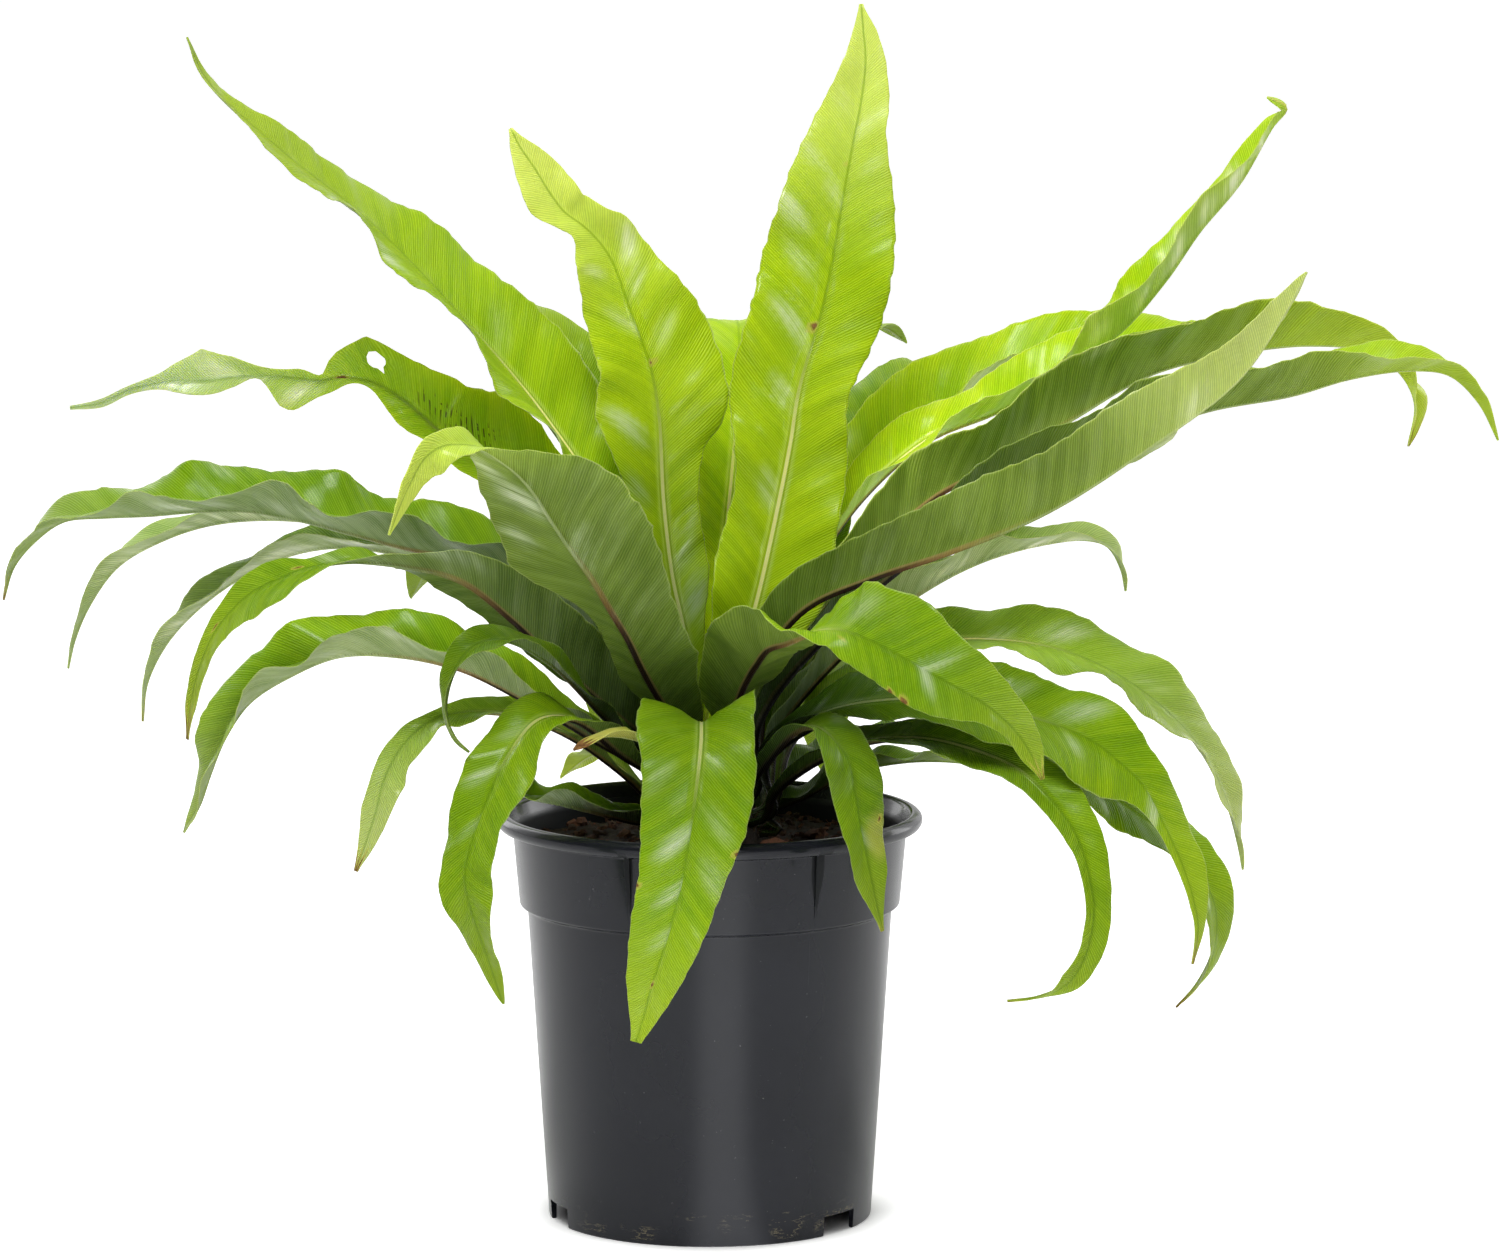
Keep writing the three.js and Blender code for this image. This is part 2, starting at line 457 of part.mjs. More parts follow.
function blockAt(size, radius, angle, height) {
  const geometry = new THREE.BoxGeometry(...size);
  geometry.translate(radius, 0, height);
  geometry.rotateZ(radians(angle));
  return toSolid(geometry);
}

// Pot: a turned shell with three notches in the foot, slots in the floor and two lugs under the lip
function lugAt(angle, width) {
  const outline = new THREE.Shape();
  const top = POT_HEIGHT - LIP_HEIGHT + 1;
  outline.moveTo(BAND_RADIUS + 2.2, top);
  outline.lineTo(BAND_RADIUS + 4.6, top);
  outline.lineTo(BAND_RADIUS + 0.7, top - LUG_HEIGHT);
  outline.lineTo(BAND_RADIUS - 0.4, top - LUG_HEIGHT);
  outline.closePath();
  const geometry = new THREE.ExtrudeGeometry(outline, { depth: width, bevelEnabled: false });
  geometry.translate(0, 0, -width / 2);
  geometry.rotateX(Math.PI / 2);
  geometry.rotateZ(radians(angle));
  return toSolid(geometry);
}

function potGeometry() {
  const lip = POT_HEIGHT - LIP_HEIGHT;
  const profile = [
    [0, FLOOR_HEIGHT],
    [BASE_RADIUS - WALL, FLOOR_HEIGHT],
    [BASE_RADIUS - WALL, 0],
    [BASE_RADIUS, 0],
    [BASE_RADIUS + 0.7, FLOOR_HEIGHT + 1],
    [LEDGE_RADIUS, LEDGE_HEIGHT],
    [BAND_RADIUS, LEDGE_HEIGHT + 1.6],
    [BAND_RADIUS + 3, lip - 1],
    [LIP_RADIUS - 1.4, lip],
    [LIP_RADIUS, lip + 2],
    [LIP_RADIUS, lip + 4.6],
    [LIP_RADIUS - 1.6, POT_HEIGHT - 0.5],
    [LIP_RADIUS - 4, POT_HEIGHT],
    [LIP_RADIUS - 5.6, POT_HEIGHT - 1.2],
    [BAND_RADIUS + 3.4 - WALL, lip - 2],
    [BAND_RADIUS - WALL, LEDGE_HEIGHT + 2],
    [LEDGE_RADIUS - WALL, LEDGE_HEIGHT - 1.6],
    [BASE_RADIUS + 0.9 - WALL, FLOOR_HEIGHT + FLOOR_THICKNESS],
    [0, FLOOR_HEIGHT + FLOOR_THICKNESS],
  ];
  let pot = toSolid(turned(profile, POT_SIDES));
  LUG_ANGLES.forEach((angle, i) => {
    pot = pot.add(lugAt(angle, LUG_WIDTHS[i]));
  });
  for (const angle of NOTCH_ANGLES) {
    const notch = [16, NOTCH_WIDTH, NOTCH_HEIGHT * 2];
    const slot = [DRAIN_WIDTH, DRAIN_LENGTH, FLOOR_THICKNESS * 4];
    pot = pot.subtract(blockAt(notch, BASE_RADIUS, angle, 0));
    pot = pot.subtract(blockAt(slot, BASE_RADIUS - 14, angle, FLOOR_HEIGHT + FLOOR_THICKNESS / 2));
  }
  return toGeometry(pot);
}

// Soil: a plug of peat whose top is raised by a formula into chips and crumbs
function soilRise(x, y) {
  const drift = x * 0.31 + 1.7 * Math.sin(y * 0.17);
  const sway = y * 0.29 - 0.6 * Math.sin(x * 0.23);
  const grain = Math.sin(drift) * Math.cos(sway);
  const chip = Math.max(0, Math.sin(x * 0.13 + y * 0.21 + 2) * Math.sin(x * 0.19 - y * 0.11)) ** 3;
  return 0.9 * grain + 2.2 * chip;
}

function soilGeometry() {
  const under = FLOOR_HEIGHT + FLOOR_THICKNESS + GAP;
  const pit = CROWN_RADIUS + GAP;
  const rings = [84.4, 80, 73, 66, 59, 52, 45, 38, 31, 26];
  const profile = [
    [0, under],
    [BASE_RADIUS + 0.2 - WALL, under],
    [LEDGE_RADIUS - WALL - GAP - 0.3, LEDGE_HEIGHT - 1.6],
    [BAND_RADIUS - WALL - GAP - 0.6, LEDGE_HEIGHT + 2],
    ...rings.map((radius) => [radius, SOIL_LEVEL]),
    [pit, SOIL_LEVEL],
    [pit, SOIL_LEVEL - PIT_DEPTH],
    [0, SOIL_LEVEL - PIT_DEPTH],
  ];
  const geometry = turned(profile, SOIL_SIDES);
  const place = geometry.attributes.position;
  for (let i = 0; i < place.count; i += 1) {
    const x = place.getX(i);
    const y = place.getY(i);
    const radius = Math.hypot(x, y);
    if (place.getZ(i) > SOIL_LEVEL - 1 && radius > pit + 1) {
      place.setZ(i, SOIL_LEVEL + soilRise(x, y) - 1.4 * clamp((radius - 70) / 16));
    }
  }
  return toGeometry(toSolid(geometry));
}

// Crown: the scaly dome that the stalks stand around
function crownGeometry() {
  const profile = [
    [0, SOIL_LEVEL - PIT_DEPTH + GAP],
    [CROWN_RADIUS, SOIL_LEVEL - PIT_DEPTH + GAP],
    [CROWN_RADIUS, CROWN_CENTRE - 4],
  ];
  for (let step = 0; step < 9; step += 1) {
    const turn = radians(step * 10);
    profile.push([CROWN_RADIUS * Math.cos(turn), CROWN_CENTRE + CROWN_RADIUS * Math.sin(turn)]);
  }
  profile.push([0, CROWN_CENTRE + CROWN_RADIUS]);
  const geometry = turned(profile, CROWN_SIDES);
  const place = geometry.attributes.position;
  for (let i = 0; i < place.count; i += 1) {
    const x = place.getX(i);
    const y = place.getY(i);
    const z = place.getZ(i);
    const scale = Math.sin(Math.atan2(y, x) * 11 + z * 0.9) * Math.sin(z * 1.3);
    const shrink = 1 - 0.012 * Math.abs(scale) * clamp(Math.hypot(x, y) / 6);
    place.setX(i, x * shrink);
    place.setY(i, y * shrink);
  }
  return toGeometry(toSolid(geometry));
}

// Fronds: each grows from the crown along its spine, a folded blade with a waved margin and a raised rib
function blend(values, t) {
  const k = Math.min(values.length - 2, Math.floor(t));
  const s = t - k;
  const ease = s * s * (3 - 2 * s);
  return values[k] + (values[k + 1] - values[k]) * ease;
}

// A smooth curve through values given at the stations.
function smoothed(values, t) {
  const k = Math.min(values.length - 2, Math.floor(t));
  const s = t - k;
  const before = values[Math.max(0, k - 1)];
  const here = values[k];
  const next = values[k + 1];
  const after = values[Math.min(values.length - 1, k + 2)];
  const climb = (next - before) / 2;
  const leave = (after - here) / 2;
  const gap = next - here;
  return here + s * (climb + s * (3 * gap - 2 * climb - leave + s * (climb + leave - 2 * gap)));
}

// Half the blade's width on one side, from its profile or from the widths given at its stations.
function halfWidth(row, u, t, hand) {
  if (row.spine[0].length > 5) {
    const item = hand < 0 ? 6 : 5;
    const widths = [STALK_HALF_WIDTH, STALK_HALF_WIDTH, ...row.spine.map((station) => station[item])];
    return Math.max(TIP_HALF_WIDTH, smoothed(widths, t * (widths.length - 1)));
  }
  const rise = clamp((u - 0.03) / (row.peak - 0.03));
  const fall = clamp((u - row.peak) / (1 - row.peak));
  if (u < row.peak) {
    return STALK_HALF_WIDTH + (row.half - STALK_HALF_WIDTH) * Math.sin((Math.PI / 2) * rise) ** 1.15;
  }
  return TIP_HALF_WIDTH + (row.half - TIP_HALF_WIDTH) * Math.cos((Math.PI / 2) * fall ** 1.3) ** row.point;
}

function waveAt(row, u, width, side) {
  const [count, height, phase] = row.wave;
  const turn = 2 * Math.PI * count * u + phase + 1.2 * side;
  const share = clamp(width / row.half);
  return height * share * (0.8 * Math.sin(turn) + 0.2 * Math.sin(1.7 * turn + 1));
}

function frondGeometry(row) {
  const azimuth = radians(row.root[0]);
  const rise = radians(row.root[1]);
  const outward = new THREE.Vector3(
    Math.cos(rise) * Math.cos(azimuth), Math.cos(rise) * Math.sin(azimuth), Math.sin(rise));
  const centre = new THREE.Vector3(0, 0, CROWN_CENTRE);
  const foot = centre.clone().addScaledVector(outward, CROWN_RADIUS + STALK_GAP);
  const knee = foot.clone().addScaledVector(outward, STALK_RUN);
  const points = [foot, knee, ...row.spine.map(([x, y, z]) => new THREE.Vector3(x, y, z))];
  const folds = [84, 76, ...row.spine.map((station) => station[3])];
  const rolls = [0, 0, ...row.spine.map((station) => station[4])];
  const curve = new THREE.CatmullRomCurve3(points, false, "centripetal");
  curve.arcLengthDivisions = 400;
  const length = curve.getLength();
  const segments = Math.max(8, Math.round(length / SEGMENT_LENGTH));
  const heading = radians(row.heading);
  const across = new THREE.Vector3(Math.sin(heading), -Math.cos(heading), 0);
  const vertices = [];
  const indices = [];
  for (let i = 0; i <= segments; i += 1) {
    const u = i / segments;
    const t = curve.getUtoTmapping(u);
    const at = curve.getPoint(t);
    const along = curve.getTangent(t);
    const side = across.clone().addScaledVector(along, -across.dot(along)).normalize();
    const up = side.clone().cross(along);
    const roll = radians(blend(rolls, t * (points.length - 1)));
    const fold = radians(blend(folds, t * (points.length - 1)));
    const sideways = side.clone().multiplyScalar(Math.cos(roll)).addScaledVector(up, Math.sin(roll));
    const upward = up.clone().multiplyScalar(Math.cos(roll)).addScaledVector(side, -Math.sin(roll));
    const rib = RIB_THICKNESS_BASE + (RIB_THICKNESS_TIP - RIB_THICKNESS_BASE) * u;
    const minus = halfWidth(row, u, t, -1);
    const plus = halfWidth(row, u, t, 1);
    const minusRib = Math.min(0.55, RIB_HALF_WIDTH / minus);
    const plusRib = Math.min(0.55, RIB_HALF_WIDTH / plus);
    const columns = [-1, -minusRib, 0, plusRib, 1];
    const faces = columns.map((v) => {
      const hand = Math.sign(v);
      const width = hand < 0 ? minus : plus;
      const reach = upward.clone().multiplyScalar(Math.cos(fold));
      reach.addScaledVector(sideways, hand * Math.sin(fold));
      const normal = upward.clone().multiplyScalar(Math.sin(fold));
      normal.addScaledVector(sideways, -hand * Math.cos(fold));
      const lift = Math.abs(v) ** 1.6 * waveAt(row, u, width, hand);
      const point = at.clone().addScaledVector(reach, Math.abs(v) * width).addScaledVector(normal, lift);
      const thickness = v === 0 ? rib : BLADE_THICKNESS;
      const offset = v === 0 ? upward : normal;
      const above = v === 0 ? 0.35 : 0.5;
      return [
        point.clone().addScaledVector(offset, thickness * above),
        point.clone().addScaledVector(offset, -thickness * (1 - above)),
      ];
    });
    for (const [top] of faces) vertices.push(top.x, top.y, top.z);
    for (const [, under] of faces) vertices.push(under.x, under.y, under.z);
  }
  const columns = 5;
  const ring = columns * 2;
  const quad = (a, b, c, d) => indices.push(a, b, c, a, c, d);
  for (let i = 0; i < segments; i += 1) {
    const here = i * ring;
    const next = here + ring;
    for (let k = 0; k < columns - 1; k += 1) {
      quad(here + k, here + k + 1, next + k + 1, next + k);
      const low = columns + k;
      indices.push(here + low, next + low + 1, here + low + 1, here + low, next + low, next + low + 1);
    }
    quad(here, next, next + columns, here + columns);
    quad(here + columns - 1, here + ring - 1, next + ring - 1, next + columns - 1);
  }
  const last = segments * ring;
  for (let k = 0; k < columns - 1; k += 1) {
    quad(k, columns + k, columns + k + 1, k + 1);
    quad(last + k, last + k + 1, last + columns + k + 1, last + columns + k);
  }
  const geometry = new THREE.BufferGeometry();
  geometry.setAttribute("position", new THREE.Float32BufferAttribute(vertices, 3));
  geometry.setIndex(indices);
  return geometry;
}

// Assembly
const plant = new THREE.Group();
plant.name = "potted_birds_nest_fern";

function add(name, geometry, colour, roughness) {
  geometry.translate(PLANT_SHIFT[0], PLANT_SHIFT[1], 0);
  const material = new THREE.MeshStandardMaterial({ color: colour, roughness, side: THREE.DoubleSide });
  const mesh = new THREE.Mesh(geometry, material);
  mesh.name = name;
  plant.add(mesh);
}

add("pot", potGeometry(), 0x383a3f, 0.35);
add("soil", soilGeometry(), 0x3a2a1e, 0.95);
add("crown", crownGeometry(), 0x2e2418, 0.9);
for (const row of FRONDS) {
  add(`frond_${row.name}`, frondGeometry(row), row.tone, 0.45);
}

export default plant;
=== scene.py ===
"""A potted bird's nest fern, dressed for a studio photograph.

Lengths are millimetres in the plant's own frame, angles are degrees, and the scene is in metres.
"""

import math
import random

import bpy
import numpy as np
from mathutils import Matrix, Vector, noise


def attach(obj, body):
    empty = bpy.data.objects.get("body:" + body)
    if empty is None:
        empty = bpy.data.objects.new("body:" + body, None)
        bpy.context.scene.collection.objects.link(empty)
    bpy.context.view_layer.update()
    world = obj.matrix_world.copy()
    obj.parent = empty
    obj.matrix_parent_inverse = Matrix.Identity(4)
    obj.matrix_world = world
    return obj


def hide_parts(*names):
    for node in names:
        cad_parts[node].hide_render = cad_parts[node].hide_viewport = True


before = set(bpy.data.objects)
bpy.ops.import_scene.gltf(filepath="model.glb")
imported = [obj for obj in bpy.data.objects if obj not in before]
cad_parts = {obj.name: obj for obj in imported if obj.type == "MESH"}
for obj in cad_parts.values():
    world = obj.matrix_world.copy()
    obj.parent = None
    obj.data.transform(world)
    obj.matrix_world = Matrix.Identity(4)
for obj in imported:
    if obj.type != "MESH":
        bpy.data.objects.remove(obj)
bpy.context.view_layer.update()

MM = 0.001
# From the plant's frame, on the pot's axis, to the part's frame.
PLANT_SHIFT = (-17.5, -62.0)

# Pot
POT_HEIGHT = 183.0
LIP_RADIUS = 95.0
LIP_HEIGHT = 7.0
BASE_RADIUS = 72.4
LEDGE_HEIGHT = 140.0
LEDGE_RADIUS = 81.5
BAND_RADIUS = 85.0
WALL = 2.2
FLOOR_HEIGHT = 10.0
FLOOR_THICKNESS = 2.5
POT_SIDES = 160
POT_ROUNDING = 0.9
NOTCH_ANGLES = (-159.0, -37.0, 83.0)
NOTCH_WIDTH = 22.0
NOTCH_HEIGHT = 9.0
NOTCH_DEPTH = 16.0
DRAIN_LENGTH = 16.0
DRAIN_WIDTH = 8.0
DRAIN_INSET = 14.0
# Stacking lugs: angle and width of each, and how far they stand in and out of the band.
LUGS = ((-113.5, 2.2), (-57.0, 3.6))
LUG_HEIGHT = 30.0
LUG_TOP = (2.2, 4.6)
LUG_FOOT = (-0.4, 0.7)
LUG_TAPER = 0.25

# Soil and crown
SOIL_LEVEL = 168.0
SOIL_RADIUS = 84.4
SOIL_SIDES = 150
CHIP_COUNT = 420
CHIP_REACH = 82.0
# Chips that the photo shows: x, y, size and how red-brown.
LARGE_CHIPS = ((32, -22, 8.5, 0.95), (-54, -18, 7.0, 0.8), (-38, -26, 6.0, 0.7), (47, 12, 6.0, 0.6))
FIBRE_COUNT = 90
FIBRE_REACH = 80.0
CROWN_RADIUS = 22.0
CROWN_CENTRE = 170.0
PIT_DEPTH = 10.0
GAP = 0.4
SCALE_COUNT = 150

# Fronds
STALK_GAP = 0.3
STALK_HALF_WIDTH = 2.1
STALK_RUN = 9.0
STALK_FOLDS = [84.0, 76.0]
STALK_ROLLS = [0.0, 0.0]
BLADE_START = 0.03
TIP_HALF_WIDTH = 0.5
BLADE_THICKNESS = 0.6
RIB_THICKNESS_BASE = 3.6
RIB_THICKNESS_TIP = 1.0
RIB_HALF_BASE = 2.0
RIB_HALF_TIP = 0.8
RIB_ABOVE = 0.28
RIB_COLUMNS = np.array([0.0, 0.45, 0.8, 1.0])
STEP = 2.4
BLADE_COLUMNS = 9
VEIN_SLANT = 0.95
VEIN_BEND = 0.86
# The spacings of the painted veins and of the spore lines, in centimetres.
VEIN_SPACING = 0.13
SPORE_SPACING = 0.33
PLEAT = 0.5
# A station with more numbers than this has a width for each half.
SIDED_FROM = 5
# Distances from the crown between which the painted shade on the fronds fades out.
HEART_SHADE = (30.0, 130.0)

# Leaf surface
LEAF_SPECULAR = 0.08
LEAF_SHINE = 0.9
UNDER_RIB = (0.02, 0.009, 0.006)
BLADE_SPECKLE = (0.05, 0.12, 0.01)
VEIN_SHADE = (0.79, 0.83, 0.7)
VEIN_LIGHT = (0.7, 0.85, 0.2)
RIB_HALO = (0.6, 0.7, 0.16)
RIB_EDGE = (0.85, 0.8, 1.0)
RIB_RIDGE = (0.74, 0.74, 0.26)
STALK_BROWN = (0.2, 0.11, 0.03)
GROOVE_SHADE = (0.6, 0.66, 1.0)
UNDER_RIB_EDGE = (0.3, 0.2, 0.08)
UNDER_RIB_FAR = (0.3, 0.16, 0.06)
UNDER_RIB_TIP = (0.35, 0.42, 0.2)
# The colour of the painted silvery highlights on the leaves.
PAINTED_SHEEN = (0.74, 0.82, 0.6)
MARGIN = (0.55, 0.64, 0.24)
YELLOWED = (0.5, 0.5, 0.08)
SPORE_BROWN = (0.06, 0.035, 0.012)
DEAD_LIGHT = (0.26, 0.13, 0.045)
DEAD_DARK = (0.12, 0.05, 0.018)
DEAD_HALO = (0.5, 0.46, 0.08)

# Peat and crown surface
PEAT = (0.03, 0.021, 0.015)
PEAT_LIGHT = (0.07, 0.045, 0.028)
PEAT_BLACK = (0.012, 0.009, 0.007)
BARK = (0.2, 0.085, 0.045)
CROWN_DARK = (0.024, 0.016, 0.01)
CROWN_SCALE = (0.12, 0.07, 0.03)

# Pot surface, with heights and radii in metres
PLASTIC_DARK = (0.008, 0.0088, 0.0125)
PLASTIC_LIGHT = (0.012, 0.0132, 0.018)
PLASTIC_FLECK = (0.3, 0.3, 0.3)
# Painted shade inside the pot and in the wedges under the lip.
PLASTIC_PAINTED_SHADE = (0.006, 0.007, 0.007)
LIME = (0.27, 0.23, 0.13)
WALL_SLOPE = 0.09
INNER_WALL = (0.0715, 0.0705)
INNER_HEIGHT = (0.150, 0.156)
LUG_SHADE_RADIUS = (0.0790, 0.0815)
LIME_TOP = (0.0165, 0.0115)
LIME_FOOT = (0.001, 0.003)

# Light: the room's strength in front and behind, and each softbox's name, place, width, height, watts.
WORLD_FRONT = 0.08
WORLD_REAR = 0.9
FLOOR_GLOW = 0.08
SEEN_FLOOR_GLOW = 0.6
FLOOR_SHADOW = (0.062, 0.088)
SHEET_TURN = 0.13
SHEET_SPREAD = 0.36
SHEET_REACH = (0.85, 0.3)
SHEET_GLOW = 1.0
SOFTBOX_AIM = (0.0, 0.0, 0.25)
SOFTBOXES = (
    ("softbox_top", (-0.3, -0.9, 2.0), 0.9, 0.8, 34.0),
    ("softbox_left", (-1.35, 2.1, 1.1), 1.0, 1.8, 9.0),
    ("softbox_right", (1.9, 1.3, 0.9), 1.0, 1.8, 14.0),
    ("softbox_front", (0.5, -3.3, 1.3), 0.7, 0.9, 12.0),
)
CAMERA_PLACE = (0.0005, -2.992, 0.666)
CAMERA_DOWN = 7.8
CAMERA_LENS = 159.4

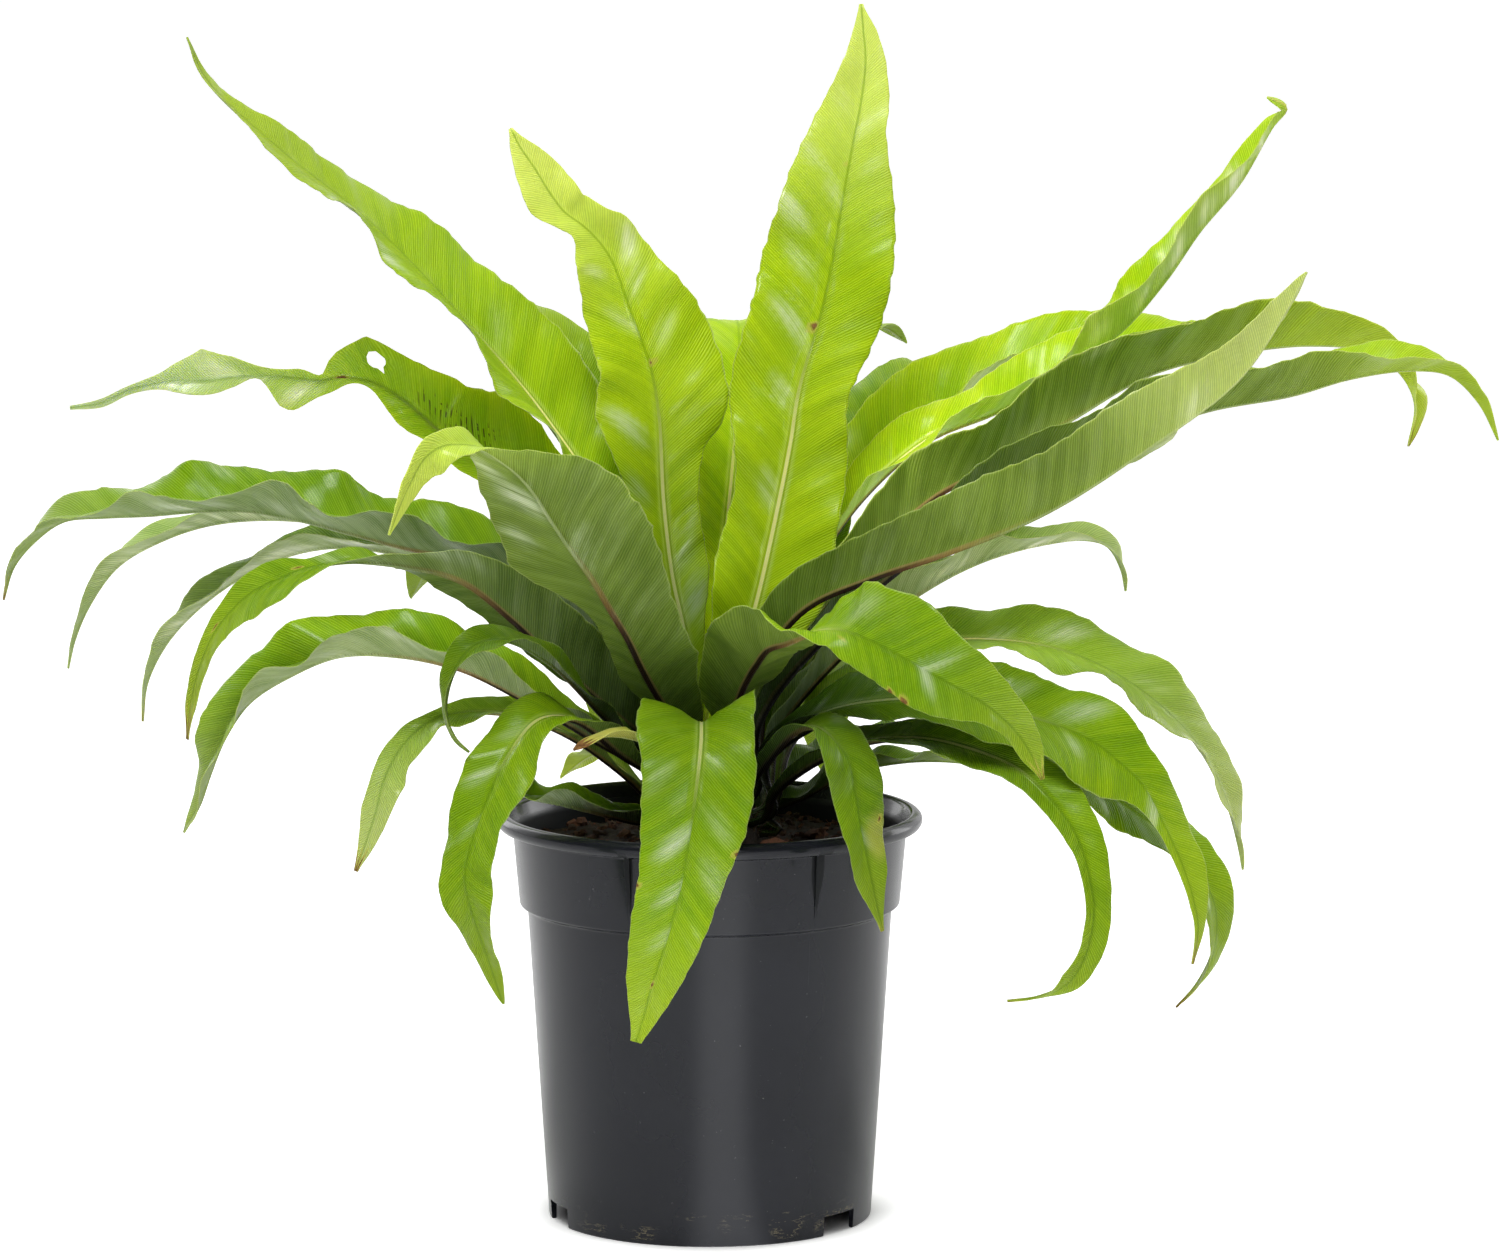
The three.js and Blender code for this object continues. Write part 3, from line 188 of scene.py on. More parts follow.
# A frond's root is an azimuth and a rise on the crown. Its wave is a count, a height and a phase.
# A station of its spine is x, y, z, fold and roll, and then the widths of its right and left halves
# where the two differ. Elsewhere the blade is widest at its peak and tapers from there to its point.
PROFILE = {"peak": 0.58, "point": 0.85}
FRONDS = [
    {"name": "tall_centre", "root": (80, 86), "heading": 90, "half": 30, "wave": (6, 4, 0), "spine": [
        (8, 6, 236, 62, 0, 9, 9), (16, 8, 259, 66, 0, 20, 17), (22, 10, 280, 70, 0, 30, 23.5),
        (31, 18, 320, 80, 0, 29, 21), (36, 23, 345, 82, 0, 26, 26.5), (40, 28, 369, 84, 0, 23, 31),
        (50, 36, 403, 84, 0, 27, 31.5), (55, 41, 426, 84, 0, 28, 31), (60, 47, 455, 83, 0, 23, 27),
        (65, 54, 481, 80, 0, 15, 20.5), (68, 60, 496, 80, 0, 13, 16), (70, 65, 514, 78, 0, 9, 10.5),
        (69, 68, 527, 76, 0, 6, 5), (68, 70, 539, 75, 0, 1, 1),
    ]},
    {"name": "left_centre", "root": (125, 68), "heading": 105, "half": 31,
     "wave": (7, 3.5, 1), "spine": [
        (-8, 9, 240, 60, -8, 6, 7), (-12, 11, 263, 66, -8, 10, 11), (-17, 15, 286, 70, -8, 17, 15),
        (-21, 22, 320, 76, -6, 16, 18), (-22, 26, 342, 80, -4, 20, 27), (-23, 30, 357, 82, -4, 31, 30),
        (-27, 36, 379, 84, -2, 33, 26), (-35, 40, 401, 84, 0, 29, 22), (-44, 44, 425, 78, 0, 18, 20),
        (-50, 44, 434, 68, 0, 17, 17), (-57, 43, 441, 62, -5, 13, 9), (-65, 42, 447, 66, -5, 12, 10),
        (-71, 41, 455, 74, 0, 12, 14), (-79, 40, 468, 76, 0, 9, 10), (-85, 39, 477, 76, 0, 5, 5),
        (-89, 38, 485, 75, 0, 1, 1),
    ]},
    {"name": "high_left", "root": (176, 66), "heading": 180, "half": 31,
     "peak": 0.46, "point": 1.3, "wave": (6, 5, 0), "spine": [
        (-22, 21, 246, 50, 20), (-45, 36, 309, 55, 37), (-74, 44, 354, 57, 37), (-108, 48, 395, 62, 30),
        (-153, 50, 442, 77, 17), (-193, 46, 475, 77, 17), (-225, 38, 507, 75, 17),
        (-232, 28, 526, 75, 20),
    ]},
    {"name": "torn_left", "root": (160, 47), "heading": 178, "half": 23, "wave": (6, 5, 2), "spine": [
        (-19, 30, 233, 50, 10, 7, 7), (-39, 50, 280, 60, 30, 14, 12), (-57, 60, 304, 65, 40, 20, 12),
        (-75, 67, 317, 70, 50, 18, 12), (-93, 72, 327, 75, 60, 27.5, 12),
        (-109, 76, 335, 75, 65, 31, 12), (-123, 79, 344, 75, 70, 26, 8),
        (-133, 81, 353, 75, 72, 22, 10.5), (-142, 82, 360, 78, 75, 18.5, 8),
        (-152, 83, 366, 80, 75, 17.5, 4), (-161, 84, 368, 80, 75, 20, 2),
        (-169, 85, 369, 80, 75, 12, 6), (-177, 86, 367, 80, 80, 3, 7), (-187, 86, 368, 80, 80, 4.5, 14),
        (-196, 86, 369, 80, 80, 3.5, 13), (-206, 86, 369, 80, 80, 5, 1),
        (-218, 86, 369, 80, 80, 9.5, 5), (-231, 86, 367, 80, 80, 14.5, 7),
        (-242, 86, 367, 80, 80, 9, 6), (-252, 86, 366, 80, 80, 4, 3), (-265, 85, 363, 80, 80, 2, 2),
        (-278, 84, 357, 80, 80, 2, 2), (-292, 83, 355, 80, 80, 1, 1),
    ]},
    {"name": "behind_left", "root": (132, 47), "heading": 130, "half": 21, "wave": (5, 4, 0), "spine": [
        (-11, 46, 230, 60, 0), (-28, 88, 284, 65, 0), (-51, 112, 342, 70, 0), (-65, 124, 377, 75, 0),
        (-79, 132, 393, 80, 0), (-96, 142, 399, 80, 0),
    ]},
    {"name": "behind_mid", "root": (93, 47), "heading": 90, "half": 17, "wave": (5, 4, 0), "spine": [
        (1, 34, 228, 60, 0), (6, 66, 287, 65, 0), (11, 90, 340, 75, 0), (13, 110, 379, 80, 0),
        (12, 134, 390, 85, 0), (8, 168, 376, 85, 0), (5, 200, 347, 85, 0),
    ]},
    {"name": "behind_right", "root": (60, 47), "heading": 60, "half": 21, "wave": (5, 4, 1), "spine": [
        (16, 46, 226, 60, 0), (41, 86, 280, 65, 0), (64, 118, 330, 70, 0), (83, 142, 358, 80, 0),
        (105, 168, 365, 85, 0), (122, 195, 350, 85, 0),
    ]},
    {"name": "back_tip", "root": (72, 25), "heading": 68, "half": 19, "wave": (5, 4, 1), "spine": [
        (11, 60, 228, 60, 0), (25, 124, 299, 65, 0), (49, 176, 354, 75, 0), (65, 208, 377, 80, 0),
        (81, 228, 379, 80, 0), (93, 242, 370, 80, 0),
    ]},
    {"name": "bright_right", "root": (40, 47), "heading": 15, "half": 28, "wave": (5, 5, 0), "spine": [
        (23, 36, 232, 50, -10), (54, 74, 295, 48, -12), (87, 98, 336, 48, -14),
        (115, 110, 355, 48, -14), (151, 114, 368, 50, -14), (193, 114, 375, 52, -10),
        (239, 114, 380, 55, 0), (275, 112, 387, 60, 0), (294, 112, 392, 70, 0), (301, 112, 386, 75, 0),
    ]},
    {"name": "long_right", "root": (14, 47), "heading": 0, "half": 28, "wave": (5, 5, 1), "spine": [
        (25, 8, 231, 50, 10), (67, 18, 289, 50, 20), (99, 28, 319, 50, 22), (130, 36, 335, 50, 20),
        (164, 42, 355, 48, 18), (198, 46, 374, 48, 10), (234, 48, 383, 50, 15), (270, 48, 387, 55, 30),
        (297, 46, 384, 60, 30), (311, 44, 374, 65, 10), (317, 42, 361, 65, -30),
        (314, 40, 342, 70, -40),
    ]},
    {"name": "twisted_right", "root": (20, 68), "heading": 20, "half": 18, "wave": (6, 5, 0), "spine": [
        (14, 13, 235, 50, 0), (40, 28, 278, 50, -10), (68, 44, 317, 50, -15), (99, 56, 343, 50, -15),
        (131, 62, 356, 50, -10), (158, 66, 373, 50, 0), (185, 66, 391, 45, 10), (206, 66, 415, 45, 10),
        (221, 65, 437, 45, 10), (239, 64, 459, 45, 10), (253, 62, 484, 50, 10), (259, 58, 493, 60, 40),
        (250, 54, 498, 70, 60),
    ]},
    {"name": "big_right", "root": (-15, 68), "heading": -10, "half": 26, "wave": (4, 5, 0), "spine": [
        (16, -14, 235, 50, 20), (40, -34, 276, 50, 30), (71, -48, 293, 50, 37), (105, -58, 306, 50, 37),
        (148, -64, 325, 50, 37), (191, -66, 353, 50, 37), (230, -66, 383, 52, 36),
        (251, -64, 414, 55, 34), (259, -62, 429, 58, 30),
    ]},
    {"name": "long_right_low", "root": (-8, 47), "heading": 0, "half": 26, "wave": (6, 5, 2), "spine": [
        (22, -10, 224, 50, 10), (62, -10, 273, 50, 15), (107, -2, 308, 52, 18), (151, 4, 333, 52, 18),
        (187, 6, 350, 52, 15), (222, 6, 362, 52, 12), (258, 2, 369, 52, 10), (284, -2, 377, 52, 0),
        (310, -6, 381, 55, 0), (327, -8, 379, 60, 0), (340, -8, 367, 65, 0), (349, -8, 350, 70, 0),
    ]},
    {"name": "gray_right", "root": (28, 25), "heading": 15, "half": 18,
     "peak": 0.48, "wave": (6, 4, 0), "spine": [
        (31, 16, 216, 55, 10), (67, 28, 256, 55, 15), (95, 38, 276, 55, 15), (122, 46, 289, 58, 15),
        (149, 52, 296, 60, 0), (170, 54, 298, 60, -20), (180, 54, 295, 70, -20),
        (186, 52, 285, 70, -10), (188, 50, 275, 70, 0),
    ]},
    {"name": "pale_droop", "root": (10, 25), "heading": 3, "half": 22, "wave": (6, 4, 1), "spine": [
        (36, 10, 211, 60, -10), (72, 22, 242, 65, -15), (101, 28, 254, 70, -20),
        (131, 30, 255, 72, -25), (157, 28, 251, 74, -28), (180, 24, 242, 74, -28),
        (202, 20, 227, 74, -28), (220, 15, 208, 74, -25), (232, 10, 184, 72, -20),
        (237, 7, 166, 70, -10), (239, 5, 155, 70, 0),
    ]},
    {"name": "front_broken", "root": (-60, 66), "heading": -50, "half": 29,
     "wave": (7, 2.5, 0), "spine": [
        (10, -22, 220, 55, 10, 7, 7), (13, -38, 238, 66, 18, 18, 12), (17, -48, 249, 70, 24, 22, 14),
        (21, -58, 257, 72, 28, 26, 15), (26, -70, 265, 70, 32, 26, 15), (35, -84, 270, 66, 24, 22, 14),
        (45, -97, 276, 66, -10, 15, 14), (56, -108, 279, 74, -50, 11, 17),
        (64, -116, 278, 80, -75, 13, 24), (73, -123, 275, 84, -80, 15, 26),
        (84, -130, 270, 86, -75, 16, 26), (96, -137, 264, 88, -70, 17, 21),
        (108, -143, 258, 88, -68, 14, 18), (120, -147, 251, 85, -62, 8, 13),
        (130, -149, 242, 82, -55, 5, 10), (137, -150, 232, 80, -50, 5, 6),
        (142, -151, 221, 75, -50, 1, 1),
    ]},
    {"name": "droop_bright", "root": (-35, 47), "heading": -18, "half": 24,
     "wave": (5, 3, 0), "spine": [
        (27, -34, 218, 60, -10, 6, 7), (53, -52, 235, 65, -20, 14, 15), (83, -64, 242, 75, -30, 21, 21),
        (114, -72, 242, 80, -35, 22, 22), (144, -76, 235, 85, -38, 19, 22),
        (166, -77, 226, 86, -40, 25, 23), (178, -78, 217, 87, -40, 21, 18),
        (189, -78, 206, 88, -40, 11, 14), (196, -78, 193, 88, -38, 5.5, 14),
        (202, -79, 181, 88, -38, 4, 12), (207, -79, 169, 86, -36, 3, 11),
        (211, -80, 156, 82, -32, 2.5, 8), (213, -80, 144, 80, -30, 2, 4),
        (211, -79, 128, 75, -20, 1, 1),
    ]},
    {"name": "droop_behind", "root": (-10, 24), "heading": -8, "half": 18,
     "peak": 0.6, "point": 1, "wave": (5, 3, 2), "spine": [
        (25, -10, 205, 60, 0), (49, -18, 225, 65, -5), (75, -26, 234, 70, -15),
        (106, -34, 231, 75, -25), (137, -40, 220, 80, -30), (163, -44, 206, 80, -30),
        (185, -45, 192, 80, -30), (203, -45, 178, 80, -28), (216, -44, 162, 78, -25),
        (223, -44, 145, 75, -25), (222, -46, 127, 75, -20), (215, -48, 113, 75, -10),
        (206, -50, 103, 75, 0),
    ]},
    {"name": "droop_front", "root": (-32, 23), "heading": -28, "half": 18, "wave": (5, 3, 1), "spine": [
        (30, -32, 197, 60, 0, 4, 5), (49, -46, 213, 65, 0, 9, 9), (71, -58, 223, 70, -10, 13, 13),
        (96, -68, 225, 75, -25, 14, 14), (120, -77, 220, 79, -30, 10, 13),
        (135, -84, 214, 80, -33, 10, 14), (147, -93, 204, 80, -35, 8, 14),
        (156, -100, 193, 80, -36, 6.5, 12), (161, -104, 183, 80, -38, 4.5, 11),
        (164, -107, 172, 80, -38, 4, 10), (166, -110, 159, 80, -38, 4.5, 8.5),
        (165, -111, 148, 80, -38, 4, 8), (162, -112, 137, 80, -36, 4, 7),
        (155, -112, 126, 78, -30, 6, 6), (143, -112, 120, 75, -10, 2.5, 2.5),
        (129, -112, 118, 75, 0, 1, 1),
    ]},
    {"name": "small_front_right", "root": (-58, 25), "heading": -55, "half": 12,
     "wave": (5, 2, 0), "spine": [
        (18, -46, 200, 60, 0, 4, 4), (31, -70, 222, 62, 0, 6.5, 7), (41, -86, 233, 64, 0, 5.5, 10),
        (48, -96, 234, 68, 0, 4.5, 12), (54, -103, 230, 74, 0, 12, 15),
        (60, -108, 222, 80, 0, 16, 13.5), (63, -110, 207, 86, 0, 11, 14),
        (66, -110, 191, 86, 0, 10.5, 12), (70, -110, 171, 84, 0, 8, 7.5), (75, -109, 148, 78, 0, 1, 1),
    ]},
    {"name": "front_hanging", "root": (-92, 45), "heading": -92, "half": 25,
     "wave": (4, 2.5, 0), "spine": [
        (0, -44, 204, 52, 0, 8, 8), (-2, -64, 222, 55, 0, 16.5, 17), (-3, -86, 235, 62, 0, 27, 27),
        (-3, -108, 230, 72, 0, 29, 23.5), (-4, -119, 220, 82, 0, 25, 25),
        (-7, -125, 198, 86, 0, 22, 24), (-11, -127, 174, 86, 0, 19, 18),
        (-17, -128, 150, 84, 0, 17, 15), (-24, -128, 128, 82, 0, 11.5, 11),
        (-28, -127, 113, 80, 0, 6, 6), (-31, -127, 103, 80, 0, 2.5, 2.5),
    ]},
    {"name": "yellow_small", "root": (-110, 22), "heading": -130, "half": 11,
     "wave": (4, 3, 0), "spine": [
        (-11, -44, 200, 60, 0), (-19, -70, 218, 62, 0), (-30, -87, 228, 70, 0), (-45, -95, 231, 80, 0),
        (-58, -102, 226, 80, 0),
    ]},
    {"name": "left_front", "root": (-128, 25), "heading": -128, "half": 15.5,
     "wave": (5, 4, 0), "spine": [
        (-20, -30, 199, 60, 0), (-39, -50, 216, 62, 0), (-58, -70, 234, 68, 10),
        (-74, -86, 236, 75, 15), (-86, -99, 223, 80, 15), (-94, -108, 207, 84, 10),
        (-101, -116, 189, 86, 5), (-104, -119, 172, 86, 0), (-100, -120, 155, 84, 0),
        (-94, -120, 137, 80, 0), (-88, -119, 118, 78, 0),
    ]},
    {"name": "low_left", "root": (-160, 4), "heading": 180, "half": 13,
     "peak": 0.5, "wave": (4, 3, 0), "spine": [
        (-19, -14, 178, 60, 0), (-35, -30, 183, 60, 0), (-50, -42, 189, 60, 0), (-65, -50, 194, 60, 0),
        (-81, -55, 199, 60, 10), (-87, -60, 210, 60, 20), (-83, -64, 222, 70, 20),
        (-74, -66, 230, 75, 10),
    ]},
    {"name": "loop", "root": (-149, 30), "heading": -160, "half": 9, "wave": (4, 3, 0), "spine": [
        (-26, -24, 206, 60, 0), (-48, -46, 234, 60, 10), (-69, -70, 259, 60, 20),
        (-88, -84, 271, 60, 20), (-102, -94, 269, 65, 20), (-110, -98, 258, 70, 10),
        (-113, -100, 242, 75, 0), (-109, -101, 231, 75, 0), (-103, -102, 225, 75, 0),
    ]},
    {"name": "low_small_left", "root": (166, 6), "heading": 176, "half": 13.5,
     "wave": (5, 3, 0), "spine": [
        (-27, 10, 184, 60, 0, 4, 4), (-51, 6, 208, 60, 0, 8, 8), (-76, -4, 223, 62, 10, 10, 10),
        (-97, -14, 229, 65, 20, 10, 10), (-119, -22, 228, 70, 35, 4.5, 11),
        (-131, -27, 221, 75, 52, 6.5, 14), (-139, -30, 211, 78, 65, 7, 9),
        (-144, -33, 200, 80, 72, 6, 9.5), (-147, -36, 188, 80, 75, 7, 8),
        (-151, -38, 176, 80, 75, 4, 5), (-156, -39, 162, 76, 70, 1, 1),
    ]},
    {"name": "left_mid", "root": (-169, 20), "heading": 180, "half": 23, "wave": (6, 5, 0), "spine": [
        (-24, -9, 197, 55, 0), (-53, -14, 218, 52, 5), (-84, -21, 237, 50, 8), (-110, -30, 251, 48, 10),
        (-136, -32, 257, 48, 10), (-163, -32, 257, 50, 10), (-185, -32, 248, 55, 15),
        (-203, -31, 236, 60, 20), (-214, -30, 220, 65, 20), (-221, -28, 203, 68, 20),
        (-226, -26, 189, 70, 20), (-233, -25, 177, 70, 10),
    ]},
    {"name": "left_dark", "root": (-156, 50), "heading": -172, "half": 27, "wave": (5, 3, 1), "spine": [
        (-18, -10, 207, 50, -15, 6, 7), (-40, -22, 228, 50, -25, 14, 18),
        (-64, -34, 251, 62, -45, 14, 24), (-86, -44, 274, 72, -58, 14, 22.5),
        (-109, -52, 293, 74, -58, 11, 14.5), (-135, -56, 300, 70, -35, 11, 8),
        (-156, -57, 302, 66, 15, 9, 8), (-174, -56, 299, 75, 30, 6, 13),
        (-187, -54, 294, 78, 33, 11, 16), (-199, -52, 288, 78, 35, 9.5, 15.5),
        (-209, -51, 279, 78, 35, 7.5, 13), (-217, -50, 268, 78, 35, 6, 10),
        (-223, -49, 254, 78, 33, 5, 6.5), (-227, -47, 238, 75, 30, 3.5, 5),
        (-229, -46, 222, 75, 20, 1, 1),
    ]},
    {"name": "left_thin", "root": (173, 27), "heading": 178, "half": 16, "wave": (5, 4, 0), "spine": [
        (-24, 2, 204, 55, 0), (-49, 6, 234, 55, 0), (-76, 11, 261, 55, 0), (-107, 15, 286, 55, 0),
        (-138, 16, 296, 55, 5), (-165, 13, 300, 58, 5), (-188, 15, 296, 60, 5), (-210, 12, 286, 65, 5),
        (-228, 8, 273, 65, 5), (-242, 4, 258, 65, 0), (-251, 2, 240, 70, 0), (-253, 0, 223, 70, 0),
    ]},
    {"name": "left_pale", "root": (152, 30), "heading": 172, "half": 15, "wave": (5, 4, 0), "spine": [
        (-29, 22, 209, 50, 0), (-59, 36, 251, 50, 0), (-95, 42, 279, 50, 0), (-131, 44, 298, 50, 0),
        (-167, 44, 306, 55, 0), (-198, 42, 309, 58, 0), (-225, 38, 307, 60, 0), (-247, 34, 300, 62, 0),
        (-266, 30, 289, 65, 0), (-278, 26, 273, 68, 0), (-285, 22, 257, 70, 0), (-288, 20, 244, 70, 0),
    ]},
    {"name": "left_long", "root": (-179, 50), "heading": 180, "half": 28, "wave": (7, 6, 0), "spine": [
        (-20, -2, 222, 52, 0), (-49, -4, 258, 52, 0), (-75, -6, 283, 52, 5), (-102, -8, 296, 50, 8),
        (-133, -10, 302, 50, 8), (-159, -11, 309, 52, 8), (-181, -12, 315, 55, 8),
        (-203, -12, 319, 55, 8), (-225, -12, 319, 58, 8), (-248, -11, 317, 60, 8),
        (-268, -10, 316, 65, 5), (-286, -8, 314, 70, 5), (-299, -6, 305, 75, 5), (-309, -4, 293, 75, 0),
        (-314, -2, 278, 75, 0),
    ]},
    {"name": "gray_front_left", "root": (-130, 66), "heading": -100, "half": 31,
     "wave": (5, 3, 0), "spine": [
        (-9, -28, 214, 60, 0, 6, 7), (-18, -44, 233, 70, 5, 12, 16), (-25, -56, 247, 80, 5, 13, 21),
        (-30, -64, 258, 85, 5, 12, 27), (-35, -72, 270, 86, 5, 11.5, 28),
        (-42, -79, 283, 85, 6, 13, 30), (-50, -87, 298, 85, 5, 21.5, 33.5),
        (-59, -94, 312, 85, 5, 32, 40), (-67, -99, 325, 86, 8, 30, 41),
        (-74, -103, 337, 86, 12, 28, 36), (-81, -107, 346, 84, 16, 26, 27),
        (-89, -112, 353, 80, 18, 20, 16), (-96, -117, 358, 76, 25, 13, 8),
        (-105, -122, 360, 70, 40, 9, 9), (-113, -127, 360, 74, 55, 7, 9),
        (-120, -131, 356, 80, 70, 8, 11), (-126, -134, 346, 84, 78, 7, 9),
        (-131, -137, 335, 80, 80, 5, 6), (-135, -140, 324, 75, 80, 1, 1),
    ]},
    {"name": "low_right_a", "root": (30, 8), "heading": 30, "half": 16, "wave": (6, 3, 0), "spine": [
        (25, 28, 187, 65, 0), (45, 52, 195, 68, 0), (68, 72, 203, 70, 0), (92, 86, 203, 75, 0),
        (110, 96, 197, 80, 0), (122, 102, 189, 80, 0),
    ]},
    {"name": "low_right_b", "root": (8, 5), "heading": 5, "half": 13, "wave": (5, 3, 0), "spine": [
        (25, 8, 179, 65, 0), (43, 14, 187, 65, 0), (63, 20, 197, 65, 0), (86, 24, 201, 68, 0),
        (104, 27, 201, 70, 0), (120, 30, 199, 75, 0),
    ]},
    {"name": "pale_back_left", "root": (128, 6), "heading": 132, "half": 15,
     "wave": (4, 3, 0), "spine": [
        (-17, 34, 189, 60, 0), (-30, 60, 197, 65, 0), (-44, 86, 197, 75, 0), (-58, 106, 190, 85, 0),
        (-70, 116, 179, 85, 0),
    ]},
    {"name": "back_a", "root": (98, 25), "heading": 98, "half": 25, "wave": (5, 5, 0), "spine": [
        (-8, 62, 224, 60, 0), (-26, 130, 262, 65, 0), (-40, 200, 262, 75, 0), (-50, 255, 225, 80, 0),
        (-56, 285, 175, 80, 0),
    ]},
    {"name": "back_b", "root": (75, 8), "heading": 78, "half": 22, "wave": (5, 4, 1), "spine": [
        (12, 60, 200, 60, 0), (26, 120, 232, 65, 0), (40, 185, 232, 75, 0), (50, 235, 200, 80, 0),
        (56, 262, 155, 80, 0),
    ]},
    {"name": "back_left", "root": (134, 25), "heading": 132, "half": 24, "wave": (5, 4, 0), "spine": [
        (-36, 52, 224, 60, 0), (-72, 98, 268, 65, 0), (-104, 146, 288, 72, 0), (-128, 186, 278, 80, 0),
        (-144, 216, 250, 80, 0),
    ]},
    {"name": "back_right", "root": (50, 28), "heading": 50, "half": 23, "wave": (5, 4, 0), "spine": [
        (34, 43, 222, 60, 0), (70, 98, 272, 65, 0), (104, 148, 300, 72, 0), (132, 184, 296, 80, 0),
        (148, 204, 276, 80, 0),
    ]},
]

# How a frond differs from a plain green one: its finish, its tone from base to tip (partly its own
# colour, partly painted light and shade), how much painted shade darkens it in the plant's heart,
# where its dead tip starts, and its spots, blush, spore lines and hole.
# A spot or blush is a station, a place across the blade and a size; a hole has a size each way. Spore
# lines have a first and a last station, a side (0 for both), and the parts of the half between
# which they lie.
PLAIN_LOOK = {"slot": "leaf_plain", "tone": (0.8, 1.1), "shade": 0.78}
LOOKS = {
    "tall_centre": {"slot": "leaf_young", "tone": (1.04, 1.12), "shade": 0.15,
        "spots": [(0.587, -0.05, 0.007), (0.917, -0.17, 0.003), (0.797, -0.04, 0.003)]},
    "left_centre": {"slot": "leaf_young", "tone": (0.6, 1.3), "shade": 0.5,
        "spots": [(0.607, 0.02, 0.004), (0.587, 0.07, 0.003),
            (0.543, 0.23, 0.0035), (0.47, 0.4, 0.003)]},
    "high_left": {"slot": "leaf_green", "tone": (1.35, 1)},
    "torn_left": {"slot": "leaf_olive", "tone": (1.12, 1.1), "shade": 0.3,
        "spores": (0.48, 0.61, 1, 0.15, 0.55), "hole": (0.652, 0.56, 0.009, 0.2),
        "spots": [(0.684, -0.05, 0.012)]},
    "behind_left": {"tone": (1, 1.1)},
    "behind_mid": {"slot": "leaf_lit", "tone": (1.9, 1.3), "shade": 0},
    "bright_right": {"slot": "leaf_lit", "tone": (1.6, 1.25)},
    "long_right": {"slot": "leaf_green", "tone": (2, 1.5), "dead": 0.97},
    "twisted_right": {"slot": "leaf_lit", "tone": (1.75, 1.4), "blush": (0.99, 0, 0.035)},
    "big_right": {"slot": "leaf_pale", "tone": (1, 1.6), "shade": 0.6},
    "long_right_low": {"tone": (0.45, 1.6)},
    "gray_right": {"slot": "leaf_gray", "tone": (1.5, 2)},
    "pale_droop": {"slot": "leaf_pale", "tone": (1.25, 1.3)},
    "front_broken": {"tone": (1.4, 0.95), "dead": 0.97,
        "spots": [(0.58, 0.4, 0.008), (0.7, 1, 0.012), (0.73, 0.95, 0.012)]},
    "droop_bright": {"slot": "leaf_bright", "tone": (0.15, 1.2), "dead": 0.96},
    "droop_behind": {"tone": (0.4, 1.1), "dead": 0.96},
    "droop_front": {"tone": (0.4, 1.08), "dead": 0.98},
    "small_front_right": {"tone": (0.15, 0.85), "dead": 0.98, "spots": [(0.765, -0.78, 0.011)],
        "blush": (0.8, -0.7, 0.07)},
    "front_hanging": {"slot": "leaf_bright", "tone": (0.5, 1.18), "shade": 0.35,
        "spots": [(0.893, 0, 0.006), (0.727, 1, 0.009), (0.64, -0.98, 0.006)]},
    "yellow_small": {"slot": "leaf_yellow", "dead": 0.9, "spots": [(0.7, 0.5, 0.04)]},
    "left_front": {"slot": "leaf_bright", "tone": (0.8, 0.95)},
    "low_left": {"slot": "leaf_old", "tone": (0.8, 1.2), "shade": 0.4},
    "loop": {"tone": (0.3, 0.7)},
    "low_small_left": {"slot": "leaf_pale", "tone": (1.5, 1.25), "shade": 0.3, "dead": 0.95},
    "left_mid": {"slot": "leaf_old", "tone": (1.35, 1.3)},
    "left_dark": {"slot": "leaf_dark", "tone": (0.65, 1.25), "dead": 0.95,
        "spots": [(0.7, 0.3, 0.009), (0.84, 0.27, 0.008)]},
    "left_thin": {"slot": "leaf_gray", "tone": (1, 1.6), "dead": 0.97},
    "left_pale": {"slot": "leaf_gray", "tone": (1.1, 1.6)},
    "left_long": {"slot": "leaf_old", "tone": (1, 1.15), "dead": 0.97,
        "spores": (0.63, 0.75, -1, 0.02, 0.2)},
    "gray_front_left": {"slot": "leaf_underside", "tone": (0.85, 1.4), "shade": 0.6},
    "pale_back_left": {"tone": (2.2, 2.2), "shade": 0.3},
    "back_a": {"spores": (0.4, 0.8, 0, 0.15, 0.8)},
}
